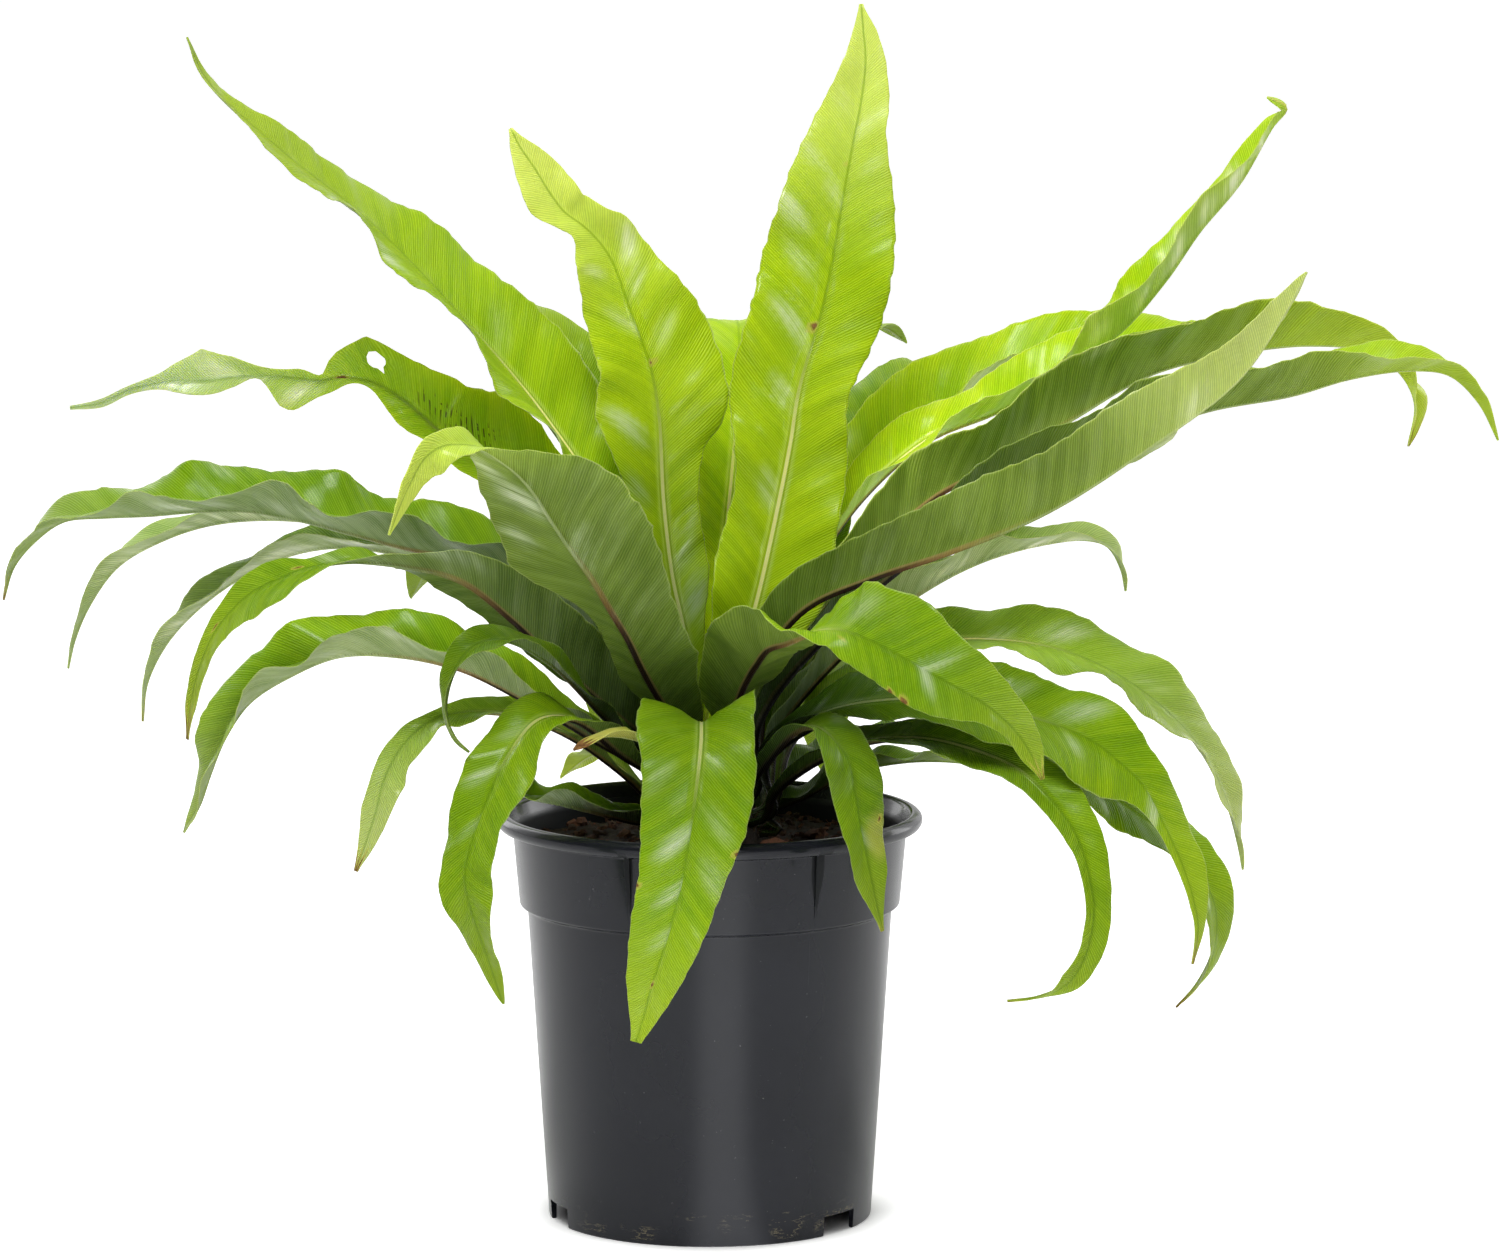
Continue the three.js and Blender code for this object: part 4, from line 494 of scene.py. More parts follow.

# Leaf finishes: light and deep greens above and below, the colour of the tip and where it starts,
# how dark the groove over the rib is, and how far light passes into the leaf.
# Undersides of leaf_lit, leaf_gray and leaf_old: pale grey-green, partly own colour, partly painted
# sheen.
PLAIN_FINISH = {
    "light": (0.26, 0.43, 0), "deep": (0.145, 0.3, 0), "tip": (0.3, 0.43, 0.02), "tip_start": 0.72,
    "under_light": (0.19, 0.28, 0.05), "under_deep": (0.09, 0.155, 0.015), "groove": 0.4, "glow": 0.22,
}
LEAF_FINISHES = {
    "leaf_plain": {},
    "leaf_young": {"light": (0.43, 0.6, 0), "deep": (0.29, 0.46, 0), "tip": (0.62, 0.74, 0.15),
        "tip_start": 0.64, "groove": 0.55},
    "leaf_yellow": {"light": (0.5, 0.6, 0.04), "deep": (0.36, 0.48, 0.02), "tip": (0.55, 0.5, 0.12),
        "tip_start": 0.55},
    "leaf_bright": {"light": (0.29, 0.46, 0), "deep": (0.165, 0.33, 0), "tip": (0.32, 0.46, 0.02),
        "tip_start": 0.7},
    "leaf_lit": {"light": (0.38, 0.56, 0), "deep": (0.24, 0.42, 0), "tip": (0.33, 0.5, 0.02),
        "tip_start": 0.7, "under_light": (0.46, 0.56, 0.2), "under_deep": (0.28, 0.4, 0.1),
        "glow": 0.35},
    "leaf_olive": {"light": (0.46, 0.62, 0.02), "deep": (0.3, 0.48, 0.01), "tip": (0.44, 0.53, 0.32),
        "tip_start": 0.6, "under_light": (0.44, 0.58, 0.05), "under_deep": (0.3, 0.44, 0.02),
        "glow": 0.6},
    "leaf_green": {"light": (0.33, 0.5, 0), "deep": (0.2, 0.36, 0), "tip": (0.38, 0.51, 0.03),
        "tip_start": 0.6},
    "leaf_underside": {"light": (0.26, 0.42, 0.01), "deep": (0.12, 0.25, 0.005),
        "tip": (0.58, 0.72, 0.12), "tip_start": 0.66},
    "leaf_dark": {"light": (0.24, 0.4, 0.004), "deep": (0.11, 0.24, 0), "tip": (0.26, 0.36, 0.02),
        "tip_start": 0.7, "under_light": (0.22, 0.3, 0.08), "under_deep": (0.1, 0.165, 0.03)},
    "leaf_pale": {"light": (0.3, 0.46, 0.04), "deep": (0.19, 0.34, 0.02), "tip": (0.4, 0.49, 0.16),
        "tip_start": 0.6},
    "leaf_gray": {"light": (0.22, 0.33, 0.09), "deep": (0.11, 0.2, 0.04), "tip": (0.3, 0.4, 0.18),
        "tip_start": 0.7, "under_light": (0.36, 0.44, 0.25), "under_deep": (0.18, 0.26, 0.1)},
    "leaf_old": {"light": (0.22, 0.38, 0.002), "deep": (0.12, 0.26, 0), "tip": (0.28, 0.38, 0.09),
        "under_light": (0.32, 0.4, 0.2), "under_deep": (0.16, 0.24, 0.08)},
}

# Patches of painted highlight, which also add to the coat: a station, a place across the blade,
# millimetres across and along the veins, and a strength.
PAINTED_GLEAMS = {
    "tall_centre": [(0.727, -0.8, 9, 14, 1), (0.587, -0.4, 8, 16, 1), (0.5, -0.23, 7, 10, 0.6),
        (0.8, -0.8, 6, 8, 0.5), (0.757, -0.17, 7, 8, 0.4), (0.8, 0.6, 7, 8, 0.35),
        (0.38, -0.3, 12, 8, 0.5), (0.667, -0.47, 8, 12, 0.45), (0.85, 0.4, 9, 12, 0.35),
        (0.87, -0.5, 8, 9, 0.35)],
    "left_centre": [(0.773, 0.63, 9, 9, 0.9), (0.677, -0.2, 8, 12, 0.4), (0.52, -0.55, 9, 14, 0.9),
        (0.273, 0.57, 14, 9, 0.9), (0.33, 0.4, 10, 9, 0.6), (0.727, 0.33, 8, 9, 0.5),
        (0.76, -0.57, 8, 8, 0.5), (0.647, 0.37, 8, 12, 0.35), (0.43, -0.7, 8, 10, 0.5)],
    "high_left": [(0.42, -0.95, 14, 5, 0.8), (0.67, -0.8, 14, 6, 0.7), (0.54, 0.33, 12, 12, 0.25),
        (0.75, -0.8, 12, 5, 0.6)],
    "torn_left": [(0.733, -0.5, 12, 10, 1.1), (0.823, 0.33, 16, 12, 1), (0.78, -0.2, 12, 8, 0.7),
        (0.88, -0.3, 18, 10, 0.8)],
    "twisted_right": [(0.66, 0.4, 12, 7, 0.8), (0.717, 0.4, 10, 7, 1), (0.78, 0.4, 14, 8, 1.4),
        (0.837, 0.4, 10, 7, 1.2), (0.877, 0.4, 12, 7, 1.4), (0.93, 0.3, 8, 6, 1.2),
        (0.7, -0.4, 12, 7, 0.8), (0.78, -0.4, 14, 8, 1.2), (0.87, -0.4, 14, 7, 1.2)],
    "long_right": [(0.61, 0.9, 12, 6, 0.5)],
    "big_right": [(0.9, -0.6, 16, 10, 0.5), (0.657, -0.8, 20, 6, 0.5), (0.8, 0.2, 14, 10, 0.4),
        (0.75, -0.9, 20, 5, 0.6)],
    "gray_right": [(0.783, 0.2, 10, 8, 1), (0.7, -0.2, 14, 8, 0.8), (0.85, 0.2, 8, 6, 0.8),
        (0.6, 0.3, 20, 8, 0.8), (0.5, -0.3, 16, 8, 0.6)],
    "pale_droop": [(0.567, -0.5, 10, 12, 0.9), (0.477, -0.15, 8, 8, 0.6), (0.8, 0.9, 20, 4, 0.6),
        (0.7, -0.3, 12, 8, 0.3)],
    "front_broken": [(0.74, -0.1, 6, 20, 0.8), (0.74, 0.1, 6, 12, 0.8), (0.6, -0.5, 8, 14, 0.45),
        (0.47, -0.4, 8, 12, 0.45)],
    "droop_bright": [(0.61, -0.5, 9, 14, 0.8), (0.77, 0.3, 8, 10, 0.8), (0.617, 0.3, 7, 8, 0.5),
        (0.52, -0.5, 10, 10, 0.35)],
    "small_front_right": [(0.8, -0.13, 6, 8, 0.4), (0.667, 0.1, 6, 6, 0.25)],
    "front_hanging": [(0.64, 0.27, 8, 12, 1), (0.73, 0.15, 7, 10, 0.9), (0.69, -0.7, 8, 10, 0.45),
        (0.53, 0.7, 9, 10, 0.4), (0.81, 0.1, 7, 8, 0.4), (0.6, -0.5, 8, 12, 0.35)],
    "left_front": [(0.6, 0.5, 6, 9, 0.9), (0.69, 0.2, 6, 8, 0.5), (0.5, 0.3, 7, 8, 0.4)],
    "left_mid": [(0.533, -0.77, 14, 6, 0.5), (0.633, -0.17, 10, 8, 0.4)],
    "left_dark": [(0.66, 0.63, 8, 8, 0.5), (0.5, -0.87, 20, 6, 0.5), (0.6, -0.6, 8, 6, 0.4)],
    "left_thin": [(0.7, -0.3, 30, 6, 0.9), (0.85, -0.3, 20, 6, 0.9), (0.6, -0.5, 20, 6, 0.7)],
    "left_pale": [(0.7, -0.4, 40, 8, 0.9), (0.55, -0.4, 30, 8, 0.8), (0.85, -0.3, 20, 8, 0.8)],
    "low_left": [(0.6, -0.6, 30, 7, 0.6), (0.75, -0.5, 26, 7, 0.6), (0.45, -0.6, 20, 6, 0.4)],
    "left_long": [(0.81, 0.9, 9, 10, 0.7), (0.7, 0.9, 8, 9, 0.7), (0.73, -0.35, 26, 8, 0.6),
        (0.62, -0.3, 20, 8, 0.4)],
    "gray_front_left": [(0.723, 0.7, 10, 10, 0.8), (0.657, 0.3, 12, 14, 0.8), (0.55, -0.1, 12, 14, 0.4),
        (0.6, 0.7, 10, 10, 0.6)],
}


def deselect_all():
    if bpy.context.mode != "OBJECT":
        bpy.ops.object.mode_set(mode="OBJECT")
    bpy.ops.object.select_all(action="DESELECT")


def metres(points):
    """Moves points from the plant's frame to the part's frame, in metres."""
    shifted = np.asarray(points, float).copy()
    shifted[:, 0] += PLANT_SHIFT[0]
    shifted[:, 1] += PLANT_SHIFT[1]
    return shifted * MM


def vertex_places(mesh):
    places = np.empty(len(mesh.vertices) * 3)
    mesh.vertices.foreach_get("co", places)
    return places.reshape(-1, 3)


def place_vertices(mesh, places):
    mesh.vertices.foreach_set("co", np.ascontiguousarray(places, dtype=np.float32).ravel())
    mesh.update()


def paint(mesh, name, values):
    """Stores one number per vertex for the materials to read."""
    layer = mesh.attributes.new(name, "FLOAT", "POINT")
    layer.data.foreach_set("value", np.ascontiguousarray(values, dtype=np.float32))


def smoothstep(low, high, value):
    share = np.clip((value - low) / (high - low), 0.0, 1.0)
    return share * share * (3.0 - 2.0 * share)


def about_axis(places, angle):
    """Turns points about the pot's axis."""
    turn = math.radians(angle)
    x = places[:, 0] * math.cos(turn) - places[:, 1] * math.sin(turn)
    y = places[:, 0] * math.sin(turn) + places[:, 1] * math.cos(turn)
    return np.stack([x, y, places[:, 2]], 1)


def shade_smooth(mesh):
    for polygon in mesh.polygons:
        polygon.use_smooth = True


def turned(name, profile, sides):
    """Turns radius and height pairs into a closed body by extruding and scaling a round cap."""
    deselect_all()
    radius, height = profile[0]
    bpy.ops.mesh.primitive_circle_add(
        vertices=sides, radius=radius, fill_type="NGON", location=(0.0, 0.0, height))
    piece = bpy.context.object
    piece.name = name
    bpy.ops.object.transform_apply(location=True, rotation=True, scale=True)
    bpy.ops.object.mode_set(mode="EDIT")
    bpy.ops.mesh.select_all(action="SELECT")
    for next_radius, next_height in profile[1:]:
        bpy.ops.mesh.extrude_region_move(
            TRANSFORM_OT_translate={"value": (0.0, 0.0, next_height - height)})
        spread = next_radius / radius
        bpy.ops.transform.resize(
            value=(spread, spread, 1.0), center_override=(0.0, 0.0, next_height))
        radius, height = next_radius, next_height
    bpy.ops.mesh.select_all(action="SELECT")
    bpy.ops.mesh.normals_make_consistent(inside=False)
    bpy.ops.object.mode_set(mode="OBJECT")
    return piece


def rounded(corners, radius, steps=4):
    """Rounds each inner corner of a radius and height profile."""
    points = [Vector(corner) for corner in corners]
    path = [tuple(points[0])]
    for before, here, after in zip(points, points[1:], points[2:]):
        back = before - here
        ahead = after - here
        reach = min(radius, 0.45 * back.length, 0.45 * ahead.length)
        start = here + back.normalized() * reach
        end = here + ahead.normalized() * reach
        for step in range(steps + 1):
            share = step / steps
            path.append(tuple(
                start * (1 - share) ** 2 + here * 2 * share * (1 - share) + end * share ** 2))
    path.append(tuple(points[-1]))
    return path


def block(size, radius, angle, height):
    """A box used as a cutter, set at a radius and turned about the pot's axis."""
    deselect_all()
    bpy.ops.mesh.primitive_cube_add(size=1.0)
    cutter = bpy.context.object
    places = vertex_places(cutter.data) * size
    places[:, 0] += radius
    places[:, 2] += height
    place_vertices(cutter.data, about_axis(places, angle))
    return cutter


def cut(piece, cutter, operation="DIFFERENCE"):
    deselect_all()
    bpy.context.view_layer.objects.active = piece
    piece.select_set(True)
    tool = piece.modifiers.new("cut", "BOOLEAN")
    tool.operation = operation
    tool.solver = "EXACT"
    tool.object = cutter
    bpy.ops.object.modifier_apply(modifier=tool.name)
    bpy.data.objects.remove(cutter, do_unlink=True)


def smooth(piece, angle=35.0):
    deselect_all()
    bpy.context.view_layer.objects.active = piece
    piece.select_set(True)
    bpy.ops.object.shade_smooth_by_angle(angle=math.radians(angle))


def hand_over(piece, node, material):
    """Gives a finished piece its material and its body, and hides the imported part that it stands for.
    """
    piece.data.materials.clear()
    piece.data.materials.append(material)
    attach(piece, "root")
    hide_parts(node)


# Pot

def lug(angle, width):
    """A wedge that tapers to a point below the lip."""
    top = POT_HEIGHT - LIP_HEIGHT + 1.0
    cutter = block((1.0, width, 1.0), 0.0, 0.0, 0.0)
    places = vertex_places(cutter.data)
    low = places[:, 2] < 0
    outer = places[:, 0] > 0
    places[:, 2] = np.where(low, top - LUG_HEIGHT, top)
    high_radius = BAND_RADIUS + np.where(outer, LUG_TOP[1], LUG_TOP[0])
    low_radius = BAND_RADIUS + np.where(outer, LUG_FOOT[1], LUG_FOOT[0])
    places[:, 0] = np.where(low, low_radius, high_radius)
    places[:, 1] *= np.where(low, LUG_TAPER, 1.0)
    place_vertices(cutter.data, about_axis(places, angle))
    return cutter


def make_pot(material):
    """The shell from its foot up the outside, over the lip and down the inside to its floor."""
    lip = POT_HEIGHT - LIP_HEIGHT
    profile = rounded([
        (BASE_RADIUS - WALL, FLOOR_HEIGHT),
        (BASE_RADIUS - WALL, 0.0),
        (BASE_RADIUS, 0.0),
        (BASE_RADIUS + 0.7, FLOOR_HEIGHT + 1.0),
        (LEDGE_RADIUS, LEDGE_HEIGHT),
        (BAND_RADIUS, LEDGE_HEIGHT + 1.6),
        (BAND_RADIUS + 3.0, lip - 1.0),
        (LIP_RADIUS - 1.4, lip),
        (LIP_RADIUS, lip + 2.0),
        (LIP_RADIUS, lip + 4.6),
        (LIP_RADIUS - 1.6, POT_HEIGHT - 0.5),
        (LIP_RADIUS - 4.0, POT_HEIGHT),
        (LIP_RADIUS - 5.6, POT_HEIGHT - 1.2),
        (BAND_RADIUS + 3.4 - WALL, lip - 2.0),
        (BAND_RADIUS - WALL, LEDGE_HEIGHT + 2.0),
        (LEDGE_RADIUS - WALL, LEDGE_HEIGHT - 1.6),
        (BASE_RADIUS + 0.9 - WALL, FLOOR_HEIGHT + FLOOR_THICKNESS),
        (8.0, FLOOR_HEIGHT + FLOOR_THICKNESS),
    ], POT_ROUNDING)
    pot = turned("pot_shell", profile, POT_SIDES)
    for angle, width in LUGS:
        cut(pot, lug(angle, width), "UNION")
    notch = (NOTCH_DEPTH, NOTCH_WIDTH, NOTCH_HEIGHT * 2)
    drain = (DRAIN_WIDTH, DRAIN_LENGTH, FLOOR_THICKNESS * 4)
    for angle in NOTCH_ANGLES:
        cut(pot, block(notch, BASE_RADIUS, angle, 0.0))
        cut(pot, block(drain, BASE_RADIUS - DRAIN_INSET, angle, FLOOR_HEIGHT + FLOOR_THICKNESS / 2))
    place_vertices(pot.data, metres(vertex_places(pot.data)))
    smooth(pot, 40.0)
    hand_over(pot, "pot", material)


# Soil

def soil_rise(x, y):
    """The height of the peat above its level: crumbs, clods and a slight fall to the wall."""
    crumbs = noise.noise(Vector((x * 0.45, y * 0.45, 3.0)))
    clods = noise.noise(Vector((x * 0.11, y * 0.11, 9.0)))
    grains = noise.noise(Vector((x * 1.1, y * 1.1, 5.0)))
    return 1.1 * crumbs + 1.7 * clods + 0.5 * grains


def join(pieces, name):
    deselect_all()
    for piece in pieces:
        piece.select_set(True)
    bpy.context.view_layer.objects.active = pieces[0]
    bpy.ops.object.join()
    joined = bpy.context.object
    joined.name = name
    return joined


def copies(pattern, places, name):
    """One mesh per place, each a turned, stretched and roughened copy of the pattern."""
    shape = vertex_places(pattern.data)
    made = []
    for turn, stretch, at, tint, jitter in places:
        mesh = pattern.data.copy()
        rough = shape * (1.0 + jitter)
        place_vertices(mesh, (rough * stretch) @ turn.T + at)
        paint(mesh, "tint", np.full(len(mesh.vertices), tint))
        piece = bpy.data.objects.new(name, mesh)
        bpy.context.collection.objects.link(piece)
        made.append(piece)
    bpy.data.objects.remove(pattern, do_unlink=True)
    return made


def turn_matrix(yaw, pitch, roll):
    cy, sy = math.cos(yaw), math.sin(yaw)
    cp, sp = math.cos(pitch), math.sin(pitch)
    cr, sr = math.cos(roll), math.sin(roll)
    about_z = np.array([[cy, -sy, 0], [sy, cy, 0], [0, 0, 1]])
    about_y = np.array([[cp, 0, sp], [0, 1, 0], [-sp, 0, cp]])
    about_x = np.array([[1, 0, 0], [0, cr, -sr], [0, sr, cr]])
    return about_z @ about_y @ about_x


def bark_chips():
    """Bark chips and crumbs strewn over the peat, a few of them large and red-brown."""
    deselect_all()
    bpy.ops.mesh.primitive_ico_sphere_add(subdivisions=2, radius=1.0)
    pattern = bpy.context.object
    count = len(pattern.data.vertices)
    draw = random.Random(21)
    places = []
    for x, y, size, tint in LARGE_CHIPS:
        rough = np.array([[draw.uniform(-0.22, 0.22)] for _ in range(count)])
        turn = turn_matrix(draw.uniform(0, 6.3), draw.uniform(-0.3, 0.3), draw.uniform(-0.3, 0.3))
        at = np.array([x, y, SOIL_LEVEL + soil_rise(x, y) + 0.25 * size])
        places.append((turn, np.array([size, size * 0.62, size * 0.4]), at, tint, rough))
    for _ in range(CHIP_COUNT):
        reach = CHIP_REACH * math.sqrt(draw.uniform(0.06, 1.0))
        angle = draw.uniform(0, 2 * math.pi)
        x, y = reach * math.cos(angle), reach * math.sin(angle)
        size = min(4.6, 0.8 + draw.expovariate(0.9))
        tint = draw.choice((0.1, 0.2, 0.3, 0.45, 0.6, 0.75))
        rough = np.array([[draw.uniform(-0.28, 0.28)] for _ in range(count)])
        turn = turn_matrix(draw.uniform(0, 6.3), draw.uniform(-0.7, 0.7), draw.uniform(-0.7, 0.7))
        stretch = np.array([size, size * draw.uniform(0.4, 0.9), size * draw.uniform(0.25, 0.6)])
        at = np.array([x, y, SOIL_LEVEL + soil_rise(x, y) + 0.2 * size])
        places.append((turn, stretch, at, tint, rough))
    return copies(pattern, places, "chip")


def fibres():
    """Short curled fibres of peat and root."""
    deselect_all()
    bpy.ops.mesh.primitive_cylinder_add(vertices=5, radius=0.22, depth=1.0)
    pattern = bpy.context.object
    draw = random.Random(8)
    made = []
    for _ in range(FIBRE_COUNT):
        reach = FIBRE_REACH * math.sqrt(draw.uniform(0.1, 1.0))
        angle = draw.uniform(0, 2 * math.pi)
        heading = draw.uniform(0, 2 * math.pi)
        bend = draw.uniform(-0.25, 0.25)
        x, y = reach * math.cos(angle), reach * math.sin(angle)
        z = SOIL_LEVEL + soil_rise(x, y) + 0.6
        tint = draw.choice((0.3, 0.5, 0.85))
        for _ in range(draw.randint(2, 4)):
            length = draw.uniform(2.0, 4.2)
            next_x, next_y = x + length * math.cos(heading), y + length * math.sin(heading)
            if math.hypot(next_x, next_y) > SOIL_RADIUS - 1.4:
                break
            next_z = SOIL_LEVEL + soil_rise(next_x, next_y) + draw.uniform(0.4, 1.6)
            mesh = pattern.data.copy()
            places = vertex_places(mesh)
            low = places[:, 2] < 0
            side = np.array([-math.sin(heading), math.cos(heading), 0.0])
            start, end = np.array([x, y, z]), np.array([next_x, next_y, next_z])
            ring = places[:, :1] * side + places[:, 1:2] * np.array([0.0, 0.0, 1.0])
            place_vertices(mesh, np.where(low[:, None], start, end) + ring)
            paint(mesh, "tint", np.full(len(mesh.vertices), tint))
            piece = bpy.data.objects.new("fibre", mesh)
            bpy.context.collection.objects.link(piece)
            made.append(piece)
            x, y, z = next_x, next_y, next_z
            heading += bend + draw.uniform(-0.3, 0.3)
    bpy.data.objects.remove(pattern, do_unlink=True)
    return made


def make_soil(material):
    """The bed from the pot's floor up to its crumbly face, with chips and fibres on it."""
    under = FLOOR_HEIGHT + FLOOR_THICKNESS + GAP
    profile = [
        (BASE_RADIUS + 0.2 - WALL, under),
        (LEDGE_RADIUS - WALL - GAP - 0.3, LEDGE_HEIGHT - 1.6),
        (BAND_RADIUS - WALL - GAP - 0.6, LEDGE_HEIGHT + 2.0),
        (SOIL_RADIUS, SOIL_LEVEL),
    ]
    profile += [(radius, SOIL_LEVEL) for radius in np.arange(SOIL_RADIUS - 1.4, 3.0, -1.7)]
    soil = turned("soil_bed", profile, SOIL_SIDES)
    places = vertex_places(soil.data)
    for row in places:
        if row[2] > SOIL_LEVEL - 1.0:
            fall = 1.4 * float(smoothstep(70.0, 86.0, math.hypot(row[0], row[1])))
            row[2] = SOIL_LEVEL + soil_rise(row[0], row[1]) - fall
    place_vertices(soil.data, places)
    paint(soil.data, "tint", np.zeros(len(places)))
    shade_smooth(soil.data)
    soil = join([soil] + bark_chips() + fibres(), "soil_bed")
    place_vertices(soil.data, metres(vertex_places(soil.data)))
    hand_over(soil, "soil", material)


# Crown

def scale_pattern():
    """One thin pointed scale, 1 long, standing on its root."""
    deselect_all()
    bpy.ops.mesh.primitive_grid_add(x_subdivisions=4, y_subdivisions=6, size=1.0)
    pattern = bpy.context.object
    shape = vertex_places(pattern.data)
    along = shape[:, 1] + 0.5
    width = 0.36 * np.sin(np.pi * np.clip(0.12 + 0.88 * along, 0, 1)) ** 0.8
    shape[:, 0] *= width
    shape[:, 2] = 0.22 * along ** 2 - 1.2 * shape[:, 0] ** 2
    shape[:, 1] = along
    place_vertices(pattern.data, shape)
    pattern.select_set(True)
    thick = pattern.modifiers.new("thick", "SOLIDIFY")
    thick.thickness = 0.03
    bpy.ops.object.modifier_apply(modifier=thick.name)
    return pattern


def out_of_crown(azimuth, rise):
    """The direction from the crown's centre, for angles in radians."""
    return np.array([
        math.cos(rise) * math.cos(azimuth), math.cos(rise) * math.sin(azimuth), math.sin(rise)])


def make_crown(material):
    """A rough dome set in the peat and covered with scales that lean outward."""
    profile = [
        (CROWN_RADIUS - 0.2, SOIL_LEVEL - PIT_DEPTH + GAP),
        (CROWN_RADIUS, SOIL_LEVEL - PIT_DEPTH + GAP + 0.5),
        (CROWN_RADIUS, CROWN_CENTRE - 3.0),
    ]
    for step in range(18):
        turn = math.radians(step * 5.0)
        profile.append((
            CROWN_RADIUS * math.cos(turn), CROWN_CENTRE + CROWN_RADIUS * math.sin(turn)))
    crown = turned("crown_dome", profile, 72)
    places = vertex_places(crown.data)
    for row in places:
        rough = noise.noise(Vector((row[0] * 0.6, row[1] * 0.6, row[2] * 0.6)))
        shrink = 1.0 - 0.02 * (1.0 + rough)
        row[0] *= shrink
        row[1] *= shrink
    place_vertices(crown.data, places)
    paint(crown.data, "tint", np.zeros(len(places)))
    draw = random.Random(4)
    placed = []
    for _ in range(SCALE_COUNT):
        azimuth = draw.uniform(0, 2 * math.pi)
        rise = math.radians(draw.uniform(2.0, 88.0))
        outward = out_of_crown(azimuth, rise)
        up = np.array([0.0, 0.0, 1.0]) - outward * outward[2]
        up /= np.linalg.norm(up)
        lean = math.radians(draw.uniform(12.0, 42.0))
        along = up * math.cos(lean) + outward * math.sin(lean)
        side = np.cross(along, outward)
        side /= np.linalg.norm(side)
        face = np.cross(side, along)
        length = draw.uniform(5.0, 9.5)
        turn = np.stack([side, along, face], 1)
        at = np.array([0.0, 0.0, CROWN_CENTRE]) + outward * (CROWN_RADIUS - 0.8)
        placed.append((turn, np.full(3, length), at, draw.choice((0.2, 0.5, 0.8)), 0.0))
    scales = copies(scale_pattern(), placed, "scale")
    crown = join([crown] + scales, "crown_dome")
    place_vertices(crown.data, metres(vertex_places(crown.data)))
    smooth(crown, 50.0)
    hand_over(crown, "crown", material)


# Fronds

def spine_points(row):
    """The curve's points: the stalk's foot and its end, straight out of the crown, and the stations."""
    outward = out_of_crown(*(math.radians(angle) for angle in row["root"]))
    foot = np.array([0.0, 0.0, CROWN_CENTRE]) + outward * (CROWN_RADIUS + STALK_GAP)
    return np.array([foot, foot + outward * STALK_RUN] + [station[:3] for station in row["spine"]])


def along_curve(points, t):
    """Points and directions of the smooth curve through the stations, at t from 0 to 1."""
    last = len(points) - 1
    part = np.clip(np.asarray(t, float) * last, 0.0, last - 1e-9)
    k = part.astype(int)
    w = (part - k)[:, None]
    padded = np.vstack([2 * points[0] - points[1], points, 2 * points[-1] - points[-2]])
    p0, p1, p2, p3 = (padded[k + n] for n in range(4))
    d0, d1, d2 = (
        np.maximum(np.sqrt(np.linalg.norm(b - a, axis=1)), 1e-4)[:, None]
        for a, b in ((p0, p1), (p1, p2), (p2, p3)))
    m1 = ((p1 - p0) / d0 - (p2 - p0) / (d0 + d1) + (p2 - p1) / d1) * d1
    m2 = ((p2 - p1) / d1 - (p3 - p1) / (d1 + d2) + (p3 - p2) / d2) * d1
    c2 = 3 * (p2 - p1) - 2 * m1 - m2
    c3 = 2 * (p1 - p2) + m1 + m2
    place = p1 + m1 * w + c2 * w ** 2 + c3 * w ** 3
    slope = m1 + 2 * c2 * w + 3 * c3 * w ** 2
    return place, slope / np.linalg.norm(slope, axis=1)[:, None]


def run_along(points):
    """Values of t along the curve, and the length run from its start to each of them."""
    fine = np.linspace(0.0, 1.0, 401)
    places, _ = along_curve(points, fine)
    steps = np.linalg.norm(np.diff(places, axis=0), axis=1)
    return fine, np.concatenate([[0.0], np.cumsum(steps)])


def blended(values, t):
    """Values given at the stations, eased from each to the next."""
    part = np.asarray(t) * (len(values) - 1)
    k = np.minimum(part.astype(int), len(values) - 2)
    w = part - k
    values = np.asarray(values, float)
    return values[k] + (values[k + 1] - values[k]) * w * w * (3 - 2 * w)


def smoothed(values, t):
    """A smooth curve through values given at the stations."""
    part = np.asarray(t) * (len(values) - 1)
    k = np.minimum(part.astype(int), len(values) - 2)
    s = part - k
    values = np.asarray(values, float)
    before, here = values[np.maximum(k - 1, 0)], values[k]
    ahead, after = values[k + 1], values[np.minimum(k + 2, len(values) - 1)]
    climb, leave, gap = (ahead - before) / 2, (after - here) / 2, ahead - here
    return here + s * (climb + s * (3 * gap - 2 * climb - leave + s * (climb + leave - 2 * gap)))


def half_width(row, u, t, hand):
    """Half the blade's width on one side, from its profile or from the widths at its stations."""
    if len(row["spine"][0]) > SIDED_FROM:
        item = 6 if hand < 0 else 5
        widths = [STALK_HALF_WIDTH] * 2 + [station[item] for station in row["spine"]]
        return np.maximum(TIP_HALF_WIDTH, smoothed(widths, t))
    half, peak = row["half"], row["peak"]
    rise = np.clip((u - BLADE_START) / (peak - BLADE_START), 0.0, 1.0)
    fall = np.clip((u - peak) / (1 - peak), 0.0, 1.0)
    low = STALK_HALF_WIDTH + (half - STALK_HALF_WIDTH) * np.sin(np.pi / 2 * rise) ** 1.15
    taper = np.maximum(np.cos(np.pi / 2 * fall ** 1.3), 0.0) ** row["point"]
    high = TIP_HALF_WIDTH + (half - TIP_HALF_WIDTH) * taper
    return np.where(u < peak, low, high)


def wave_at(row, u, width, side):
    """How far the margin waves up or down, less where the blade is narrow."""
    count, height, phase = row["wave"]
    turn = 2 * np.pi * count * u + phase + 1.2 * side
    share = np.clip(width / row["half"], 0.0, 1.0)
    return height * share * (0.8 * np.sin(turn) + 0.2 * np.sin(1.7 * turn + 1.0))


